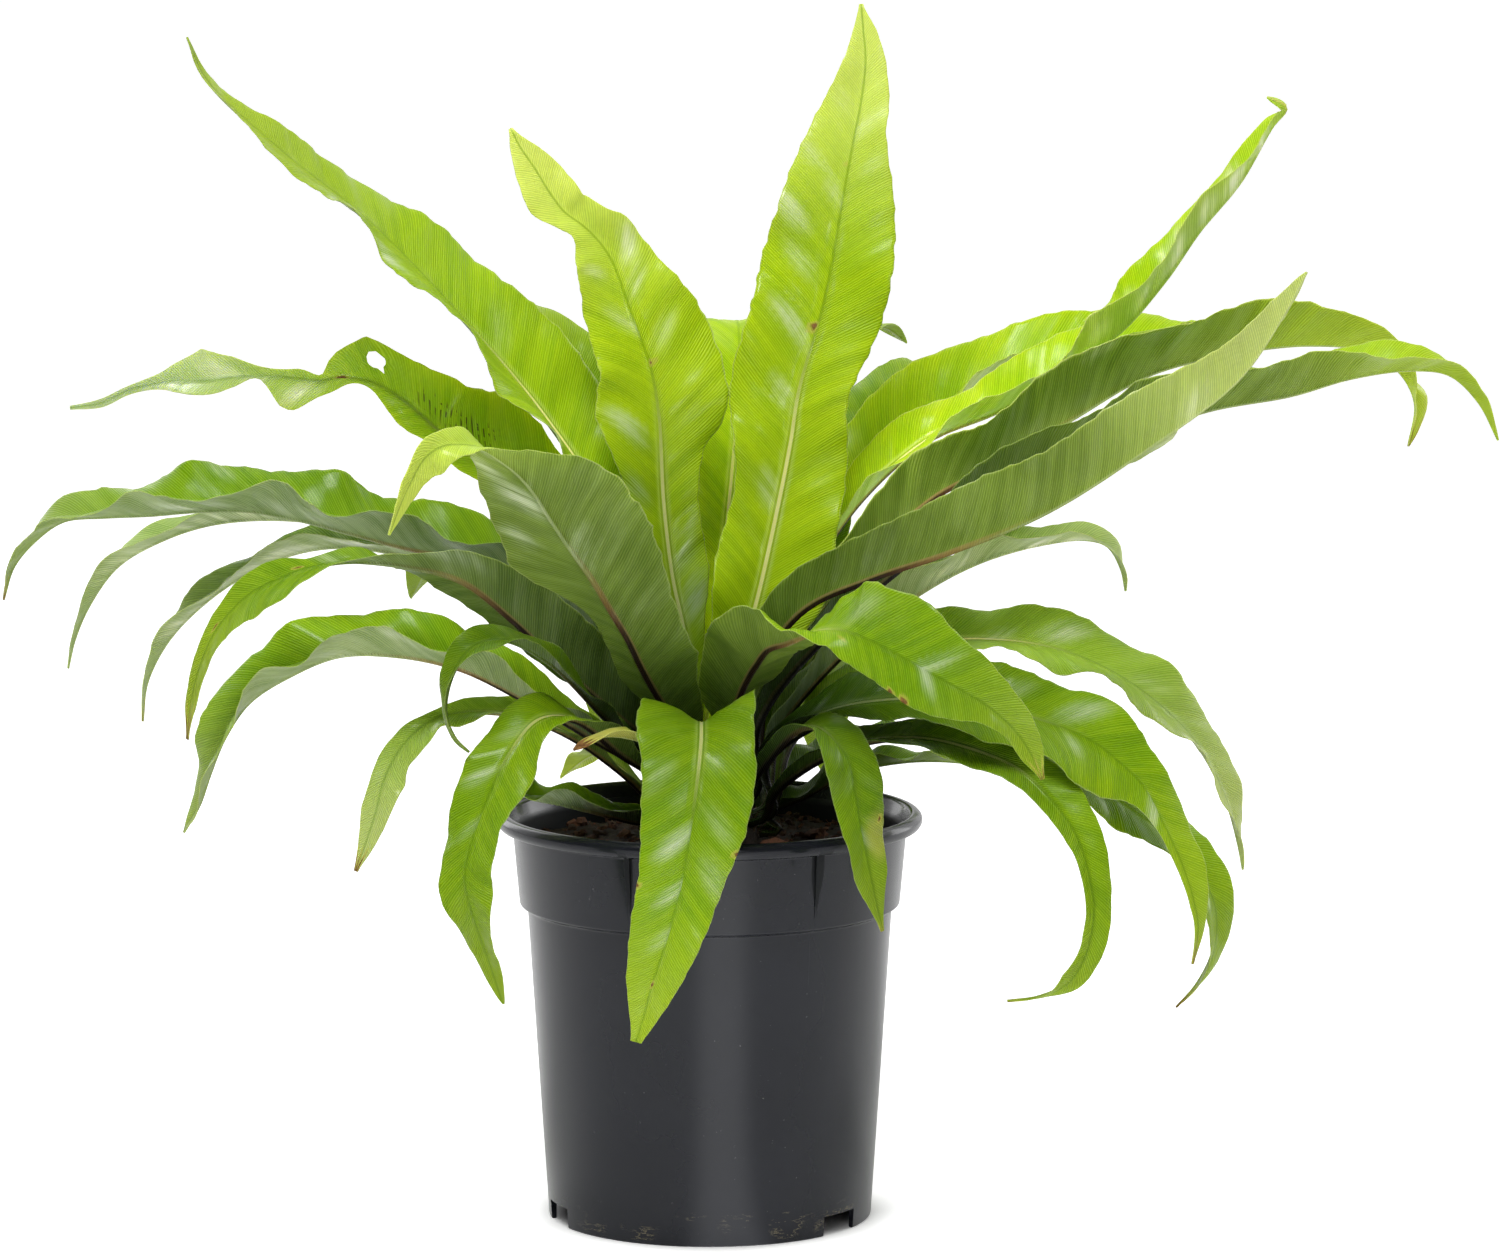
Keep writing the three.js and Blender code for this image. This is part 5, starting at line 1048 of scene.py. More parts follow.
def directions(row, t, along):
    """Along the curve: sideways and upward of the blade once rolled, and each half's fold."""
    heading = math.radians(row["heading"])
    across = np.array([math.sin(heading), -math.cos(heading), 0.0])
    side = across - along * (along @ across)[:, None]
    side /= np.linalg.norm(side, axis=1)[:, None]
    up = np.cross(side, along)
    rolls = STALK_ROLLS + [station[4] for station in row["spine"]]
    folds = STALK_FOLDS + [station[3] for station in row["spine"]]
    roll = np.radians(blended(rolls, t))[:, None]
    fold = np.radians(blended(folds, t))[:, None]
    sideways = side * np.cos(roll) + up * np.sin(roll)
    upward = up * np.cos(roll) - side * np.sin(roll)
    return sideways[:, None, :], upward[:, None, :], fold


def columns_across(minus, plus, rib_half):
    """Places from -1 to 1 across each row, close together at the rib and the margin."""
    outer = 1.0 - (1.0 - np.linspace(0.0, 1.0, BLADE_COLUMNS + 1)[1:]) ** 1.25
    halves = []
    for width in (minus, plus):
        share = (rib_half / width)[:, None]
        halves.append(np.concatenate([RIB_COLUMNS * share, share + (1.0 - share) * outer], axis=1))
    return np.concatenate([-halves[0][:, :0:-1], halves[1]], axis=1)


def veins_slant(run, reach):
    """Which vein a point is on, as millimetres along the rib."""
    return run - VEIN_SLANT * 10.0 * (reach * 0.1) ** VEIN_BEND


def ripple(run, length, phase):
    return np.sin(run * 2 * np.pi / length + phase)


def crumple(number, v, hand, width, slant):
    """Pleats that run with the veins, some stretches of a blade more crumpled than others."""
    swell = 0.55 + 0.45 * ripple(slant, 61.0, 1.7 * number + 2.0 * hand)
    pleat = ripple(slant, 21.0, 0.8 * number + hand)
    pleat += 0.75 * swell * ripple(slant, 10.5, 2.1 * number + 1.3 * hand)
    pleat += 0.35 * swell * ripple(slant, 6.3, number)
    return PLEAT * pleat * smoothstep(0.08, 0.4, np.abs(v)) * np.clip(width / 20.0, 0.0, 1.0)


def frilled(number, v, hand, run):
    """The fine frill of the margin, as a factor on the blade's reach."""
    frill = ripple(run, 13.0, 1.9 * number + 2.0 * hand) + 0.7 * ripple(run, 7.1, number)
    return 1.0 + 0.012 * frill * np.abs(v) ** 6


def frond(row, look, number):
    """One frond: a thin sheet with a raised rib, shaped along its spine from an even grid."""
    points = spine_points(row)
    fine, run = run_along(points)
    length = run[-1]
    rows = max(24, round(length / STEP))
    t = np.interp(np.linspace(0.0, length, rows + 1), run, fine)
    u = np.linspace(0.0, 1.0, rows + 1)
    place, along = along_curve(points, t)
    sideways, upward, fold = directions(row, t, along)

    minus, plus = half_width(row, u, t, -1.0), half_width(row, u, t, 1.0)
    rib_half = RIB_HALF_BASE + (RIB_HALF_TIP - RIB_HALF_BASE) * u
    rib_half = np.minimum(rib_half, 0.6 * np.minimum(minus, plus))
    v = columns_across(minus, plus, rib_half)
    hand = np.sign(v)
    left = hand < 0
    width = np.where(left, minus[:, None], plus[:, None])
    reach = np.abs(v) * width
    s = u[:, None] * length
    slant = veins_slant(s, reach)
    wave = np.where(left, wave_at(row, u, minus, -1.0)[:, None], wave_at(row, u, plus, 1.0)[:, None])
    lift = np.abs(v) ** 1.6 * wave + crumple(number, v, hand, width, slant)
    # The halves bow a little, so that a blade is never a flat pair of boards.
    lift += 0.05 * reach * np.sin(np.pi * np.abs(v))

    # Each half leaves the rib at its fold, and over the rib the sheet faces straight up.
    sin_fold, cos_fold = np.sin(fold)[:, None], np.cos(fold)[:, None]
    run_out = sideways * hand[:, :, None] * sin_fold + upward * cos_fold
    normal = upward * sin_fold - sideways * hand[:, :, None] * cos_fold
    ease = smoothstep(0.0, 1.0, reach / (2.2 * rib_half[:, None]))[:, :, None]
    normal = normal * ease + upward * (1.0 - ease)
    normal /= np.linalg.norm(normal, axis=2)[:, :, None]
    reach_out = reach * frilled(number, v, hand, s)
    middle = place[:, None, :] + run_out * reach_out[:, :, None] + normal * lift[:, :, None]

    rib_thickness = RIB_THICKNESS_BASE + (RIB_THICKNESS_TIP - RIB_THICKNESS_BASE) * u ** 0.7
    rib_form = np.clip(1.0 - (reach / rib_half[:, None]) ** 2, 0.0, 1.0) ** 0.5
    stalk = 1.0 - smoothstep(0.0, 0.1, u)[:, None]
    thickness = BLADE_THICKNESS * (1.0 - 0.45 * np.abs(v) ** 4) + stalk * 1.2 * (1.0 - np.abs(v) ** 2)
    extra = np.maximum(rib_thickness[:, None] - thickness, 0.0) * rib_form
    above = 0.5 * thickness + RIB_ABOVE * extra
    below = 0.5 * thickness + (1.0 - RIB_ABOVE) * extra
    top = middle + normal * above[:, :, None]
    under = middle - normal * below[:, :, None]

    deselect_all()
    total = v.shape[1]
    bpy.ops.mesh.primitive_grid_add(x_subdivisions=total - 1, y_subdivisions=rows, size=1.0)
    piece = bpy.context.object
    piece.name = "blade_" + row["name"]
    if "hole" in look:
        top, under = (round_hole(sheet, look["hole"], u, v) for sheet in (top, under))
        open_hole(piece, look["hole"], u, v)
    sheet = vertex_places(piece.data)
    column = np.round((sheet[:, 0] + 0.5) * (total - 1)).astype(int)
    line = np.round((sheet[:, 1] + 0.5) * rows).astype(int)
    thick = piece.modifiers.new("thick", "SOLIDIFY")
    thick.thickness = 0.01
    thick.offset = 0.0
    bpy.ops.object.modifier_apply(modifier=thick.name)
    mesh = piece.data
    low = vertex_places(mesh)[:, 2] < 0
    at = np.tile(line, 2), np.tile(column, 2)
    place_vertices(mesh, metres(np.where(low[:, None], under[at], top[at])))

    line = at[0]
    unroll(mesh, hand[at] * reach[at], s[line, 0])
    paint(mesh, "under", low.astype(float))
    paint(mesh, "along", u[line])
    paint(mesh, "edge", np.abs(v[at]))
    paint(mesh, "rib", reach[at] / rib_half[line])
    paint(mesh, "seed", np.full(len(line), float(number)))
    # The frond's own tone with painted light and shade.
    paint(mesh, "tone", tones(look, u[line], middle[at]))
    paint(mesh, "mark", marks(look, u[line], v[at], number))
    paint(mesh, "spore", spores(look, u[line], v[at]))
    # Painted highlight patches, passed to the leaf materials.
    patches = PAINTED_GLEAMS.get(row["name"], ())
    paint(mesh, "painted_gleam", painted_gleams(patches, hand[at], reach[at], slant[at], length, u, minus, plus))
    paint(mesh, "blush", spot(u[line], v[at], *look["blush"]) if "blush" in look else 0.0 * u[line])
    shade_smooth(mesh)
    return piece


def unroll(mesh, across, along):
    """Charts the blade flat, in centimetres across and along."""
    chart = mesh.uv_layers.active
    chart.name = "blade"
    corner = np.empty(len(mesh.loops), dtype=np.int32)
    mesh.loops.foreach_get("vertex_index", corner)
    uv = np.stack([across * 0.1, along * 0.1], 1)
    chart.data.foreach_set("uv", uv[corner].astype(np.float32).ravel())


def tones(look, u, places):
    """Tone with painted light and shade, from base to tip, and painted shade in the plant's heart."""
    low, high = look["tone"]
    tone = low + (high - low) * smoothstep(0.2, 0.85, u)
    heart = np.linalg.norm(places - np.array([0.0, 0.0, CROWN_CENTRE + 8.0]), axis=1)
    return tone * (1.0 - look["shade"] * (1.0 - smoothstep(*HEART_SHADE, heart)))


def painted_gleams(patches, hand, reach, slant, length, u, minus, plus):
    """Soft patches of painted highlight, long along the veins."""
    value = np.zeros(len(reach))
    for at_u, at_v, across, along, strength in patches:
        width = np.interp(at_u, u, minus if at_v < 0 else plus)
        at_reach = abs(at_v) * width
        at_slant = veins_slant(at_u * length, at_reach)
        distance = np.hypot((slant - at_slant) / across, (reach - at_reach) / along)
        patch = strength * (1.0 - smoothstep(0.0, 1.0, distance))
        value = np.maximum(value, np.where(hand * at_v >= 0, patch, 0.0))
    return value


def round_hole(sheet, hole, u, v):
    """Moves the sheet's points beside the hole onto its ellipse."""
    at_u, at_v, size_u, size_v = hole
    rows = len(u) - 1
    eased = sheet.copy()
    for line in range(rows + 1):
        for column in range(v.shape[1]):
            away_u, away_v = u[line] - at_u, v[line, column] - at_v
            away = math.hypot(away_u / size_u, away_v / size_v)
            if not 0.3 < away < 1.45:
                continue
            near_line = (at_u + away_u / away) * rows
            low = int(near_line)
            near_column = np.interp(at_v + away_v / away, v[line], np.arange(v.shape[1]))
            left = int(near_column)
            part, side = near_line - low, near_column - left
            eased[line, column] = (
                (sheet[low, left] * (1 - side) + sheet[low, left + 1] * side) * (1 - part)
                + (sheet[low + 1, left] * (1 - side) + sheet[low + 1, left + 1] * side) * part)
    return eased


def open_hole(piece, hole, u, v):
    """Takes the grid's faces inside a small ellipse away."""
    at_u, at_v, size_u, size_v = hole
    rows, columns = len(u) - 1, v.shape[1] - 1
    bpy.ops.object.mode_set(mode="EDIT")
    bpy.ops.mesh.select_all(action="DESELECT")
    bpy.ops.mesh.select_mode(type="FACE")
    bpy.ops.object.mode_set(mode="OBJECT")
    for face in piece.data.polygons:
        line = int(round((face.center[1] + 0.5) * rows))
        column = int(round((face.center[0] + 0.5) * columns))
        near = ((u[line] - at_u) / size_u) ** 2 + ((v[line, column] - at_v) / size_v) ** 2
        face.select = bool(near < 1.0)
    bpy.ops.object.mode_set(mode="EDIT")
    bpy.ops.mesh.delete(type="FACE")
    bpy.ops.object.mode_set(mode="OBJECT")


def spot(u, v, at_u, at_v, size):
    """1 in a round spot and 0 outside it."""
    distance = np.hypot((u - at_u) / size, (v - at_v) / (size * 11.0))
    return 1.0 - smoothstep(0.35, 1.0, distance)


def marks(look, u, v, number):
    """Brown dead tissue: at the tip, and in the spots that the frond carries."""
    value = np.zeros(len(u))
    if "dead" in look:
        value = smoothstep(look["dead"], look["dead"] + 0.06, u + 0.02 * np.sin(9.0 * v + number))
    for at_u, at_v, size in look.get("spots", ()):
        value = np.maximum(value, spot(u, v, at_u, at_v, size))
    return value


def spores(look, u, v):
    """Where spore lines grow: between two stations, inside the margin, on one side or both."""
    if "spores" not in look:
        return np.zeros(len(u))
    start, end, side, low, high = look["spores"]
    inside = smoothstep(start, start + 0.02, u) * (1.0 - smoothstep(end - 0.02, end, u))
    reach = smoothstep(low, low + 0.06, np.abs(v)) * (1.0 - smoothstep(high - 0.06, high, np.abs(v)))
    return inside * reach * (1.0 if side == 0 else np.where(np.sign(v) == side, 1.0, 0.0))


# Materials

def new_group(name, inputs, outputs):
    """A shader node group with named sockets, and its two ends."""
    tree = bpy.data.node_groups.new(name, "ShaderNodeTree")
    for label, kind in inputs:
        tree.interface.new_socket(label, in_out="INPUT", socket_type=kind)
    for label, kind in outputs:
        tree.interface.new_socket(label, in_out="OUTPUT", socket_type=kind)
    return tree, tree.nodes.new("NodeGroupInput"), tree.nodes.new("NodeGroupOutput")


def math_node(tree, operation, first, second=None):
    node = tree.nodes.new("ShaderNodeMath")
    node.operation = operation
    for socket, value in zip(node.inputs, (first, second)):
        if value is None:
            continue
        if isinstance(value, (int, float)):
            socket.default_value = value
        else:
            tree.links.new(value, socket)
    return node.outputs[0]


def times(tree, first, second):
    return math_node(tree, "MULTIPLY", first, second)


def added(tree, first, second):
    return math_node(tree, "ADD", first, second)


def less(tree, first, second):
    return math_node(tree, "SUBTRACT", first, second)


def times_colour(tree, first, second):
    return mix(tree, 1.0, first, second, "MULTIPLY")


def ramp(tree, value, low, high):
    """0 below low and 1 above high, smooth between."""
    node = tree.nodes.new("ShaderNodeMapRange")
    node.interpolation_type = "SMOOTHSTEP"
    node.inputs["From Min"].default_value = low
    node.inputs["From Max"].default_value = high
    tree.links.new(value, node.inputs["Value"])
    return node.outputs["Result"]


def mix(tree, share, first, second, blend="MIX"):
    node = tree.nodes.new("ShaderNodeMix")
    node.data_type = "RGBA"
    node.blend_type = blend
    for socket, value in ((node.inputs[0], share), (node.inputs[6], first), (node.inputs[7], second)):
        if isinstance(value, (int, float)):
            socket.default_value = value
        elif isinstance(value, tuple):
            socket.default_value = (*value, 1.0)
        else:
            tree.links.new(value, socket)
    return node.outputs[2]


def noise_at(tree, place, scale, detail=2.0, roughness=0.5):
    node = tree.nodes.new("ShaderNodeTexNoise")
    node.inputs["Scale"].default_value = scale
    node.inputs["Detail"].default_value = detail
    node.inputs["Roughness"].default_value = roughness
    tree.links.new(place, node.inputs["Vector"])
    return node.outputs["Fac"]


def attribute(tree, name):
    node = tree.nodes.new("ShaderNodeAttribute")
    node.attribute_name = name
    return node.outputs["Fac"]


def coordinates(tree):
    return tree.nodes.new("ShaderNodeTexCoord").outputs["Object"]


def blade_chart(tree):
    node = tree.nodes.new("ShaderNodeUVMap")
    node.uv_map = "blade"
    return node.outputs["UV"]


def side_noise(tree, first, second, third, scale, detail=2.0):
    """Noise on three numbers, for streaks that follow the blade rather than the room."""
    combined = tree.nodes.new("ShaderNodeCombineXYZ")
    for socket, value in zip(combined.inputs, (first, second, third)):
        tree.links.new(value, socket)
    return noise_at(tree, combined.outputs[0], scale, detail)


def vein_group():
    """Slanted veins, spore lines and streaks of gloss, from centimetres across and along."""
    tree, start, end = new_group(
        "slanted_veins",
        [("Chart", "NodeSocketVector"), ("Place", "NodeSocketVector"), ("Seed", "NodeSocketFloat")],
        [(label, "NodeSocketFloat") for label in ("Vein", "Line", "Streak", "Gloss")])
    split = tree.nodes.new("ShaderNodeSeparateXYZ")
    tree.links.new(start.outputs["Chart"], split.inputs[0])
    across = split.outputs[0]
    away = math_node(tree, "ABSOLUTE", across)
    hand = times(tree, math_node(tree, "SIGN", across), 7.3)
    hand = added(tree, hand, times(tree, start.outputs["Seed"], 3.1))
    # A vein leaves the rib steeply and bends outward as it runs to the margin.
    run = math_node(tree, "POWER", away, VEIN_BEND)
    slant = added(tree, split.outputs[1], times(tree, run, -VEIN_SLANT))
    slant = added(tree, slant, times(tree, noise_at(tree, start.outputs["Place"], 30.0, 1.0), 0.2))
    uneven = added(tree, slant, times(tree, side_noise(tree, slant, hand, hand, 3.0), 0.12))
    vein = math_node(tree, "SINE", times(tree, uneven, 2 * math.pi / VEIN_SPACING))
    vein = ramp(tree, vein, -0.9, 1.0)
    dash = ramp(tree, side_noise(tree, slant, times(tree, away, 1.7), hand, 2.3), 0.44, 0.5)
    line = math_node(tree, "SINE", times(tree, slant, 2 * math.pi / SPORE_SPACING))
    line = times(tree, dash, ramp(tree, line, 0.55, 0.8))
    low = times(tree, away, 0.32)
    streak = side_noise(tree, times(tree, slant, 2.2), low, hand, 1.0, 3.0)
    gloss = side_noise(tree, times(tree, slant, 0.8), low, hand, 1.0, 2.0)
    tree.links.new(vein, end.inputs["Vein"])
    tree.links.new(line, end.inputs["Line"])
    tree.links.new(streak, end.inputs["Streak"])
    tree.links.new(ramp(tree, gloss, 0.42, 0.66), end.inputs["Gloss"])
    return tree


def band(tree, value, low, high, soft):
    """1 between low and high, with soft ends."""
    return times(
        tree, ramp(tree, value, low - soft, low + soft), ramp(tree, value, high + soft, high - soft))


def upper_rib(tree, given, blade):
    """A pale ridge between two green lines near the base, and a thin dark line further up."""
    along, rib = given["Along"], given["Rib"]
    near = ramp(tree, along, 0.62, 0.42)
    halo = times(tree, near, times(tree, ramp(tree, rib, 2.7, 1.2), 0.3))
    top = mix(tree, halo, blade, RIB_HALO)
    lines = times(tree, near, times(tree, band(tree, rib, 0.62, 1.2, 0.12), 0.75))
    top = mix(tree, lines, top, times_colour(tree, given["Deep"], RIB_EDGE))
    ridge = times(tree, near, ramp(tree, rib, 0.62, 0.42))
    brown = times(tree, ramp(tree, along, 0.16, 0.06), 0.8)
    top = mix(tree, ridge, top, mix(tree, brown, RIB_RIDGE, STALK_BROWN))
    groove = times(tree, ramp(tree, along, 0.4, 0.58), ramp(tree, rib, 0.75, 0.35))
    groove = times(tree, groove, given["Groove"])
    return mix(tree, groove, top, times_colour(tree, given["Deep"], GROOVE_SHADE))


def lower_rib(tree, given, blade):
    """A dark round spine that turns brown and then green towards the tip."""
    along, rib = given["Along"], given["Rib"]
    rim = times(tree, band(tree, rib, 0.75, 1.15, 0.15), ramp(tree, along, 0.62, 0.4))
    bottom = mix(tree, times(tree, rim, 0.7), blade, UNDER_RIB_EDGE)
    spine = times(tree, ramp(tree, rib, 0.95, 0.7), ramp(tree, along, 0.58, 0.4))
    dark = mix(tree, ramp(tree, along, 0.36, 0.5), given["Under rib"], UNDER_RIB_FAR)
    bottom = mix(tree, spine, bottom, dark)
    far_spine = times(tree, ramp(tree, rib, 0.8, 0.5), ramp(tree, along, 0.45, 0.6))
    return mix(tree, times(tree, far_spine, 0.5), bottom, UNDER_RIB_TIP)


def blade_group():
    """The colour of a blade: greens in patches and streaks, the rib, the margin and the marks."""
    colours = [(label, "NodeSocketColor") for label in (
        "Light", "Deep", "Tip", "Under light", "Under deep", "Under rib")]
    masks = [(label, "NodeSocketFloat") for label in (
        "Vein", "Line", "Streak", "Gloss", "Tip share", "Along", "Edge", "Rib", "Under", "Mark",
        "Spore", "Tone", "Blush", "Painted_gleam", "Groove")]
    tree, start, end = new_group(
        "blade_colour", colours + masks + [("Place", "NodeSocketVector")],
        [("Color", "NodeSocketColor"), ("Roughness", "NodeSocketFloat"), ("Coat", "NodeSocketFloat")])
    given = start.outputs
    place, under = given["Place"], given["Under"]
    patches = ramp(tree, noise_at(tree, place, 16.0, 3.0, 0.55), 0.3, 0.7)
    streaks = ramp(tree, given["Streak"], 0.34, 0.66)
    shades = times(tree, added(tree, patches, streaks), 0.5)
    speckle = ramp(tree, noise_at(tree, place, 420.0, 2.0), 0.35, 0.75)
    upper = mix(tree, shades, given["Deep"], given["Light"])
    upper = mix(tree, given["Tip share"], upper, given["Tip"])
    lower = mix(tree, shades, given["Under deep"], given["Under light"])
    lower = mix(tree, times(tree, given["Tip share"], 0.85), lower, given["Tip"])
    blade = mix(tree, under, upper, lower)
    dark = times_colour(tree, blade, VEIN_SHADE)
    blade = mix(tree, given["Vein"], dark, mix(tree, 0.07, blade, VEIN_LIGHT))
    blade = mix(tree, times(tree, speckle, 0.06), blade, BLADE_SPECKLE)
    blade = mix(tree, under, upper_rib(tree, given, blade), lower_rib(tree, given, blade))

    # Patches of painted silvery highlight, broken up by the veins, which also add to the coat.
    grain = times(tree, ramp(tree, given["Streak"], 0.36, 0.62), 0.7)
    grain = added(tree, grain, times(tree, given["Vein"], 0.3))
    painted_sheen_and_coat = times(tree, given["Painted_gleam"], added(tree, grain, 0.15))
    blade = mix(tree, times(tree, painted_sheen_and_coat, 0.62), blade, PAINTED_SHEEN)
    margin = times(tree, ramp(tree, given["Edge"], 0.975, 0.992), 0.25)
    blade = mix(tree, margin, blade, MARGIN)
    blade = mix(tree, times(tree, given["Blush"], 0.7), blade, YELLOWED)
    # Tone and painted light scale the colour, and a lighter leaf is a yellower one.
    tone = given["Tone"]
    scale = tree.nodes.new("ShaderNodeCombineXYZ")
    for socket, value in zip(scale.inputs, (math_node(tree, "POWER", tone, 1.15), tone, tone)):
        tree.links.new(value, socket)
    blade = times_colour(tree, blade, scale.outputs[0])
    spore = times(tree, given["Line"], given["Spore"])
    blade = mix(tree, times(tree, spore, 0.85), blade, SPORE_BROWN)
    halo = ramp(tree, given["Mark"], 0.0, 0.3)
    blade = mix(tree, times(tree, halo, 0.6), blade, DEAD_HALO)
    dead = mix(tree, speckle, DEAD_LIGHT, DEAD_DARK)
    blade = mix(tree, ramp(tree, given["Mark"], 0.4, 0.8), blade, dead)
    tree.links.new(blade, end.inputs["Color"])

    rough = added(tree, times(tree, under, 0.06), 0.26)
    rough = added(tree, rough, times(tree, patches, 0.1))
    rough = added(tree, rough, times(tree, given["Mark"], 0.4))
    tree.links.new(rough, end.inputs["Roughness"])
    shine = times(tree, times(tree, added(tree, streaks, 0.35), given["Gloss"]), 0.4)
    shine = times(tree, added(tree, shine, painted_sheen_and_coat), less(tree, 1.0, given["Mark"]))
    tree.links.new(added(tree, times(tree, shine, LEAF_SHINE), 0.02), end.inputs["Coat"])
    return tree


def new_material(name):
    material = bpy.data.materials.new(name)
    material.use_nodes = True
    tree = material.node_tree
    return material, tree, tree.nodes["Principled BSDF"]


def use_group(tree, group, values):
    node = tree.nodes.new("ShaderNodeGroup")
    node.node_tree = group
    for label, value in values.items():
        if isinstance(value, tuple):
            node.inputs[label].default_value = (*value, 1.0)
        elif isinstance(value, (int, float)):
            node.inputs[label].default_value = value
        else:
            tree.links.new(value, node.inputs[label])
    return node


def bump(tree, shader, height, strength, distance):
    node = tree.nodes.new("ShaderNodeBump")
    node.inputs["Strength"].default_value = strength
    node.inputs["Distance"].default_value = distance
    tree.links.new(height, node.inputs["Height"])
    tree.links.new(node.outputs["Normal"], shader.inputs["Normal"])


def leaf_material(name, finish, veins, blade):
    """One finish of leaf: its own greens through the shared veins and blade groups."""
    finish = {**PLAIN_FINISH, **finish}
    material, tree, shader = new_material(name)
    place, chart = coordinates(tree), blade_chart(tree)
    vein = use_group(tree, veins, {"Chart": chart, "Place": place, "Seed": attribute(tree, "seed")})
    along = attribute(tree, "along")
    start = finish["tip_start"]
    values = {
        "Under rib": UNDER_RIB, "Groove": finish["groove"],
        "Tip share": ramp(tree, along, start, min(start + 0.36, 1.0)), "Place": place}
    for label in ("Light", "Deep", "Tip", "Under light", "Under deep"):
        values[label] = finish[label.lower().replace(" ", "_")]
    for label in ("Vein", "Line", "Streak", "Gloss"):
        values[label] = vein.outputs[label]
    for label in ("along", "edge", "rib", "under", "mark", "spore", "tone", "blush", "painted_gleam"):
        values[label.capitalize()] = attribute(tree, label)
    colour = use_group(tree, blade, values)
    tree.links.new(colour.outputs["Color"], shader.inputs["Base Color"])
    tree.links.new(colour.outputs["Roughness"], shader.inputs["Roughness"])
    tree.links.new(colour.outputs["Coat"], shader.inputs["Coat Weight"])
    shader.inputs["Subsurface Weight"].default_value = finish["glow"]
    shader.inputs["Subsurface Radius"].default_value = (0.9, 1.0, 0.12)
    shader.inputs["Subsurface Scale"].default_value = 0.0022
    shader.inputs["Specular IOR Level"].default_value = LEAF_SPECULAR
    shader.inputs["Coat Roughness"].default_value = 0.2
    bump(tree, shader, vein.outputs["Vein"], 0.6, 0.0003)
    return material


def grit_group():
    """Peat, bark and crumb: dark to red-brown by tint, with fine grit as relief."""
    tree, start, end = new_group(
        "grit", [("Place", "NodeSocketVector"), ("Tint", "NodeSocketFloat"),
                 ("Dark", "NodeSocketColor"), ("Warm", "NodeSocketColor")],
        [("Color", "NodeSocketColor"), ("Height", "NodeSocketFloat")])
    place = start.outputs["Place"]
    clod = ramp(tree, noise_at(tree, place, 260.0, 5.0, 0.7), 0.35, 0.7)
    grain = noise_at(tree, place, 1100.0, 4.0, 0.7)
    dark = start.outputs["Dark"]
    base = mix(tree, clod, dark, mix(tree, 0.5, dark, PEAT_LIGHT))
    base = mix(tree, start.outputs["Tint"], base, start.outputs["Warm"])
    base = mix(tree, times(tree, ramp(tree, grain, 0.45, 0.75), 0.55), base, PEAT_BLACK)
    tree.links.new(base, end.inputs["Color"])
    tree.links.new(added(tree, grain, clod), end.inputs["Height"])
    return tree


def gritty_material(name, grit, dark, warm, roughness):
    material, tree, shader = new_material(name)
    node = use_group(tree, grit, {
        "Place": coordinates(tree), "Tint": attribute(tree, "tint"), "Dark": dark, "Warm": warm})
    tree.links.new(node.outputs["Color"], shader.inputs["Base Color"])
    shader.inputs["Roughness"].default_value = roughness
    shader.inputs["Specular IOR Level"].default_value = 0.3
    bump(tree, shader, node.outputs["Height"], 0.8, 0.0008)
    return material


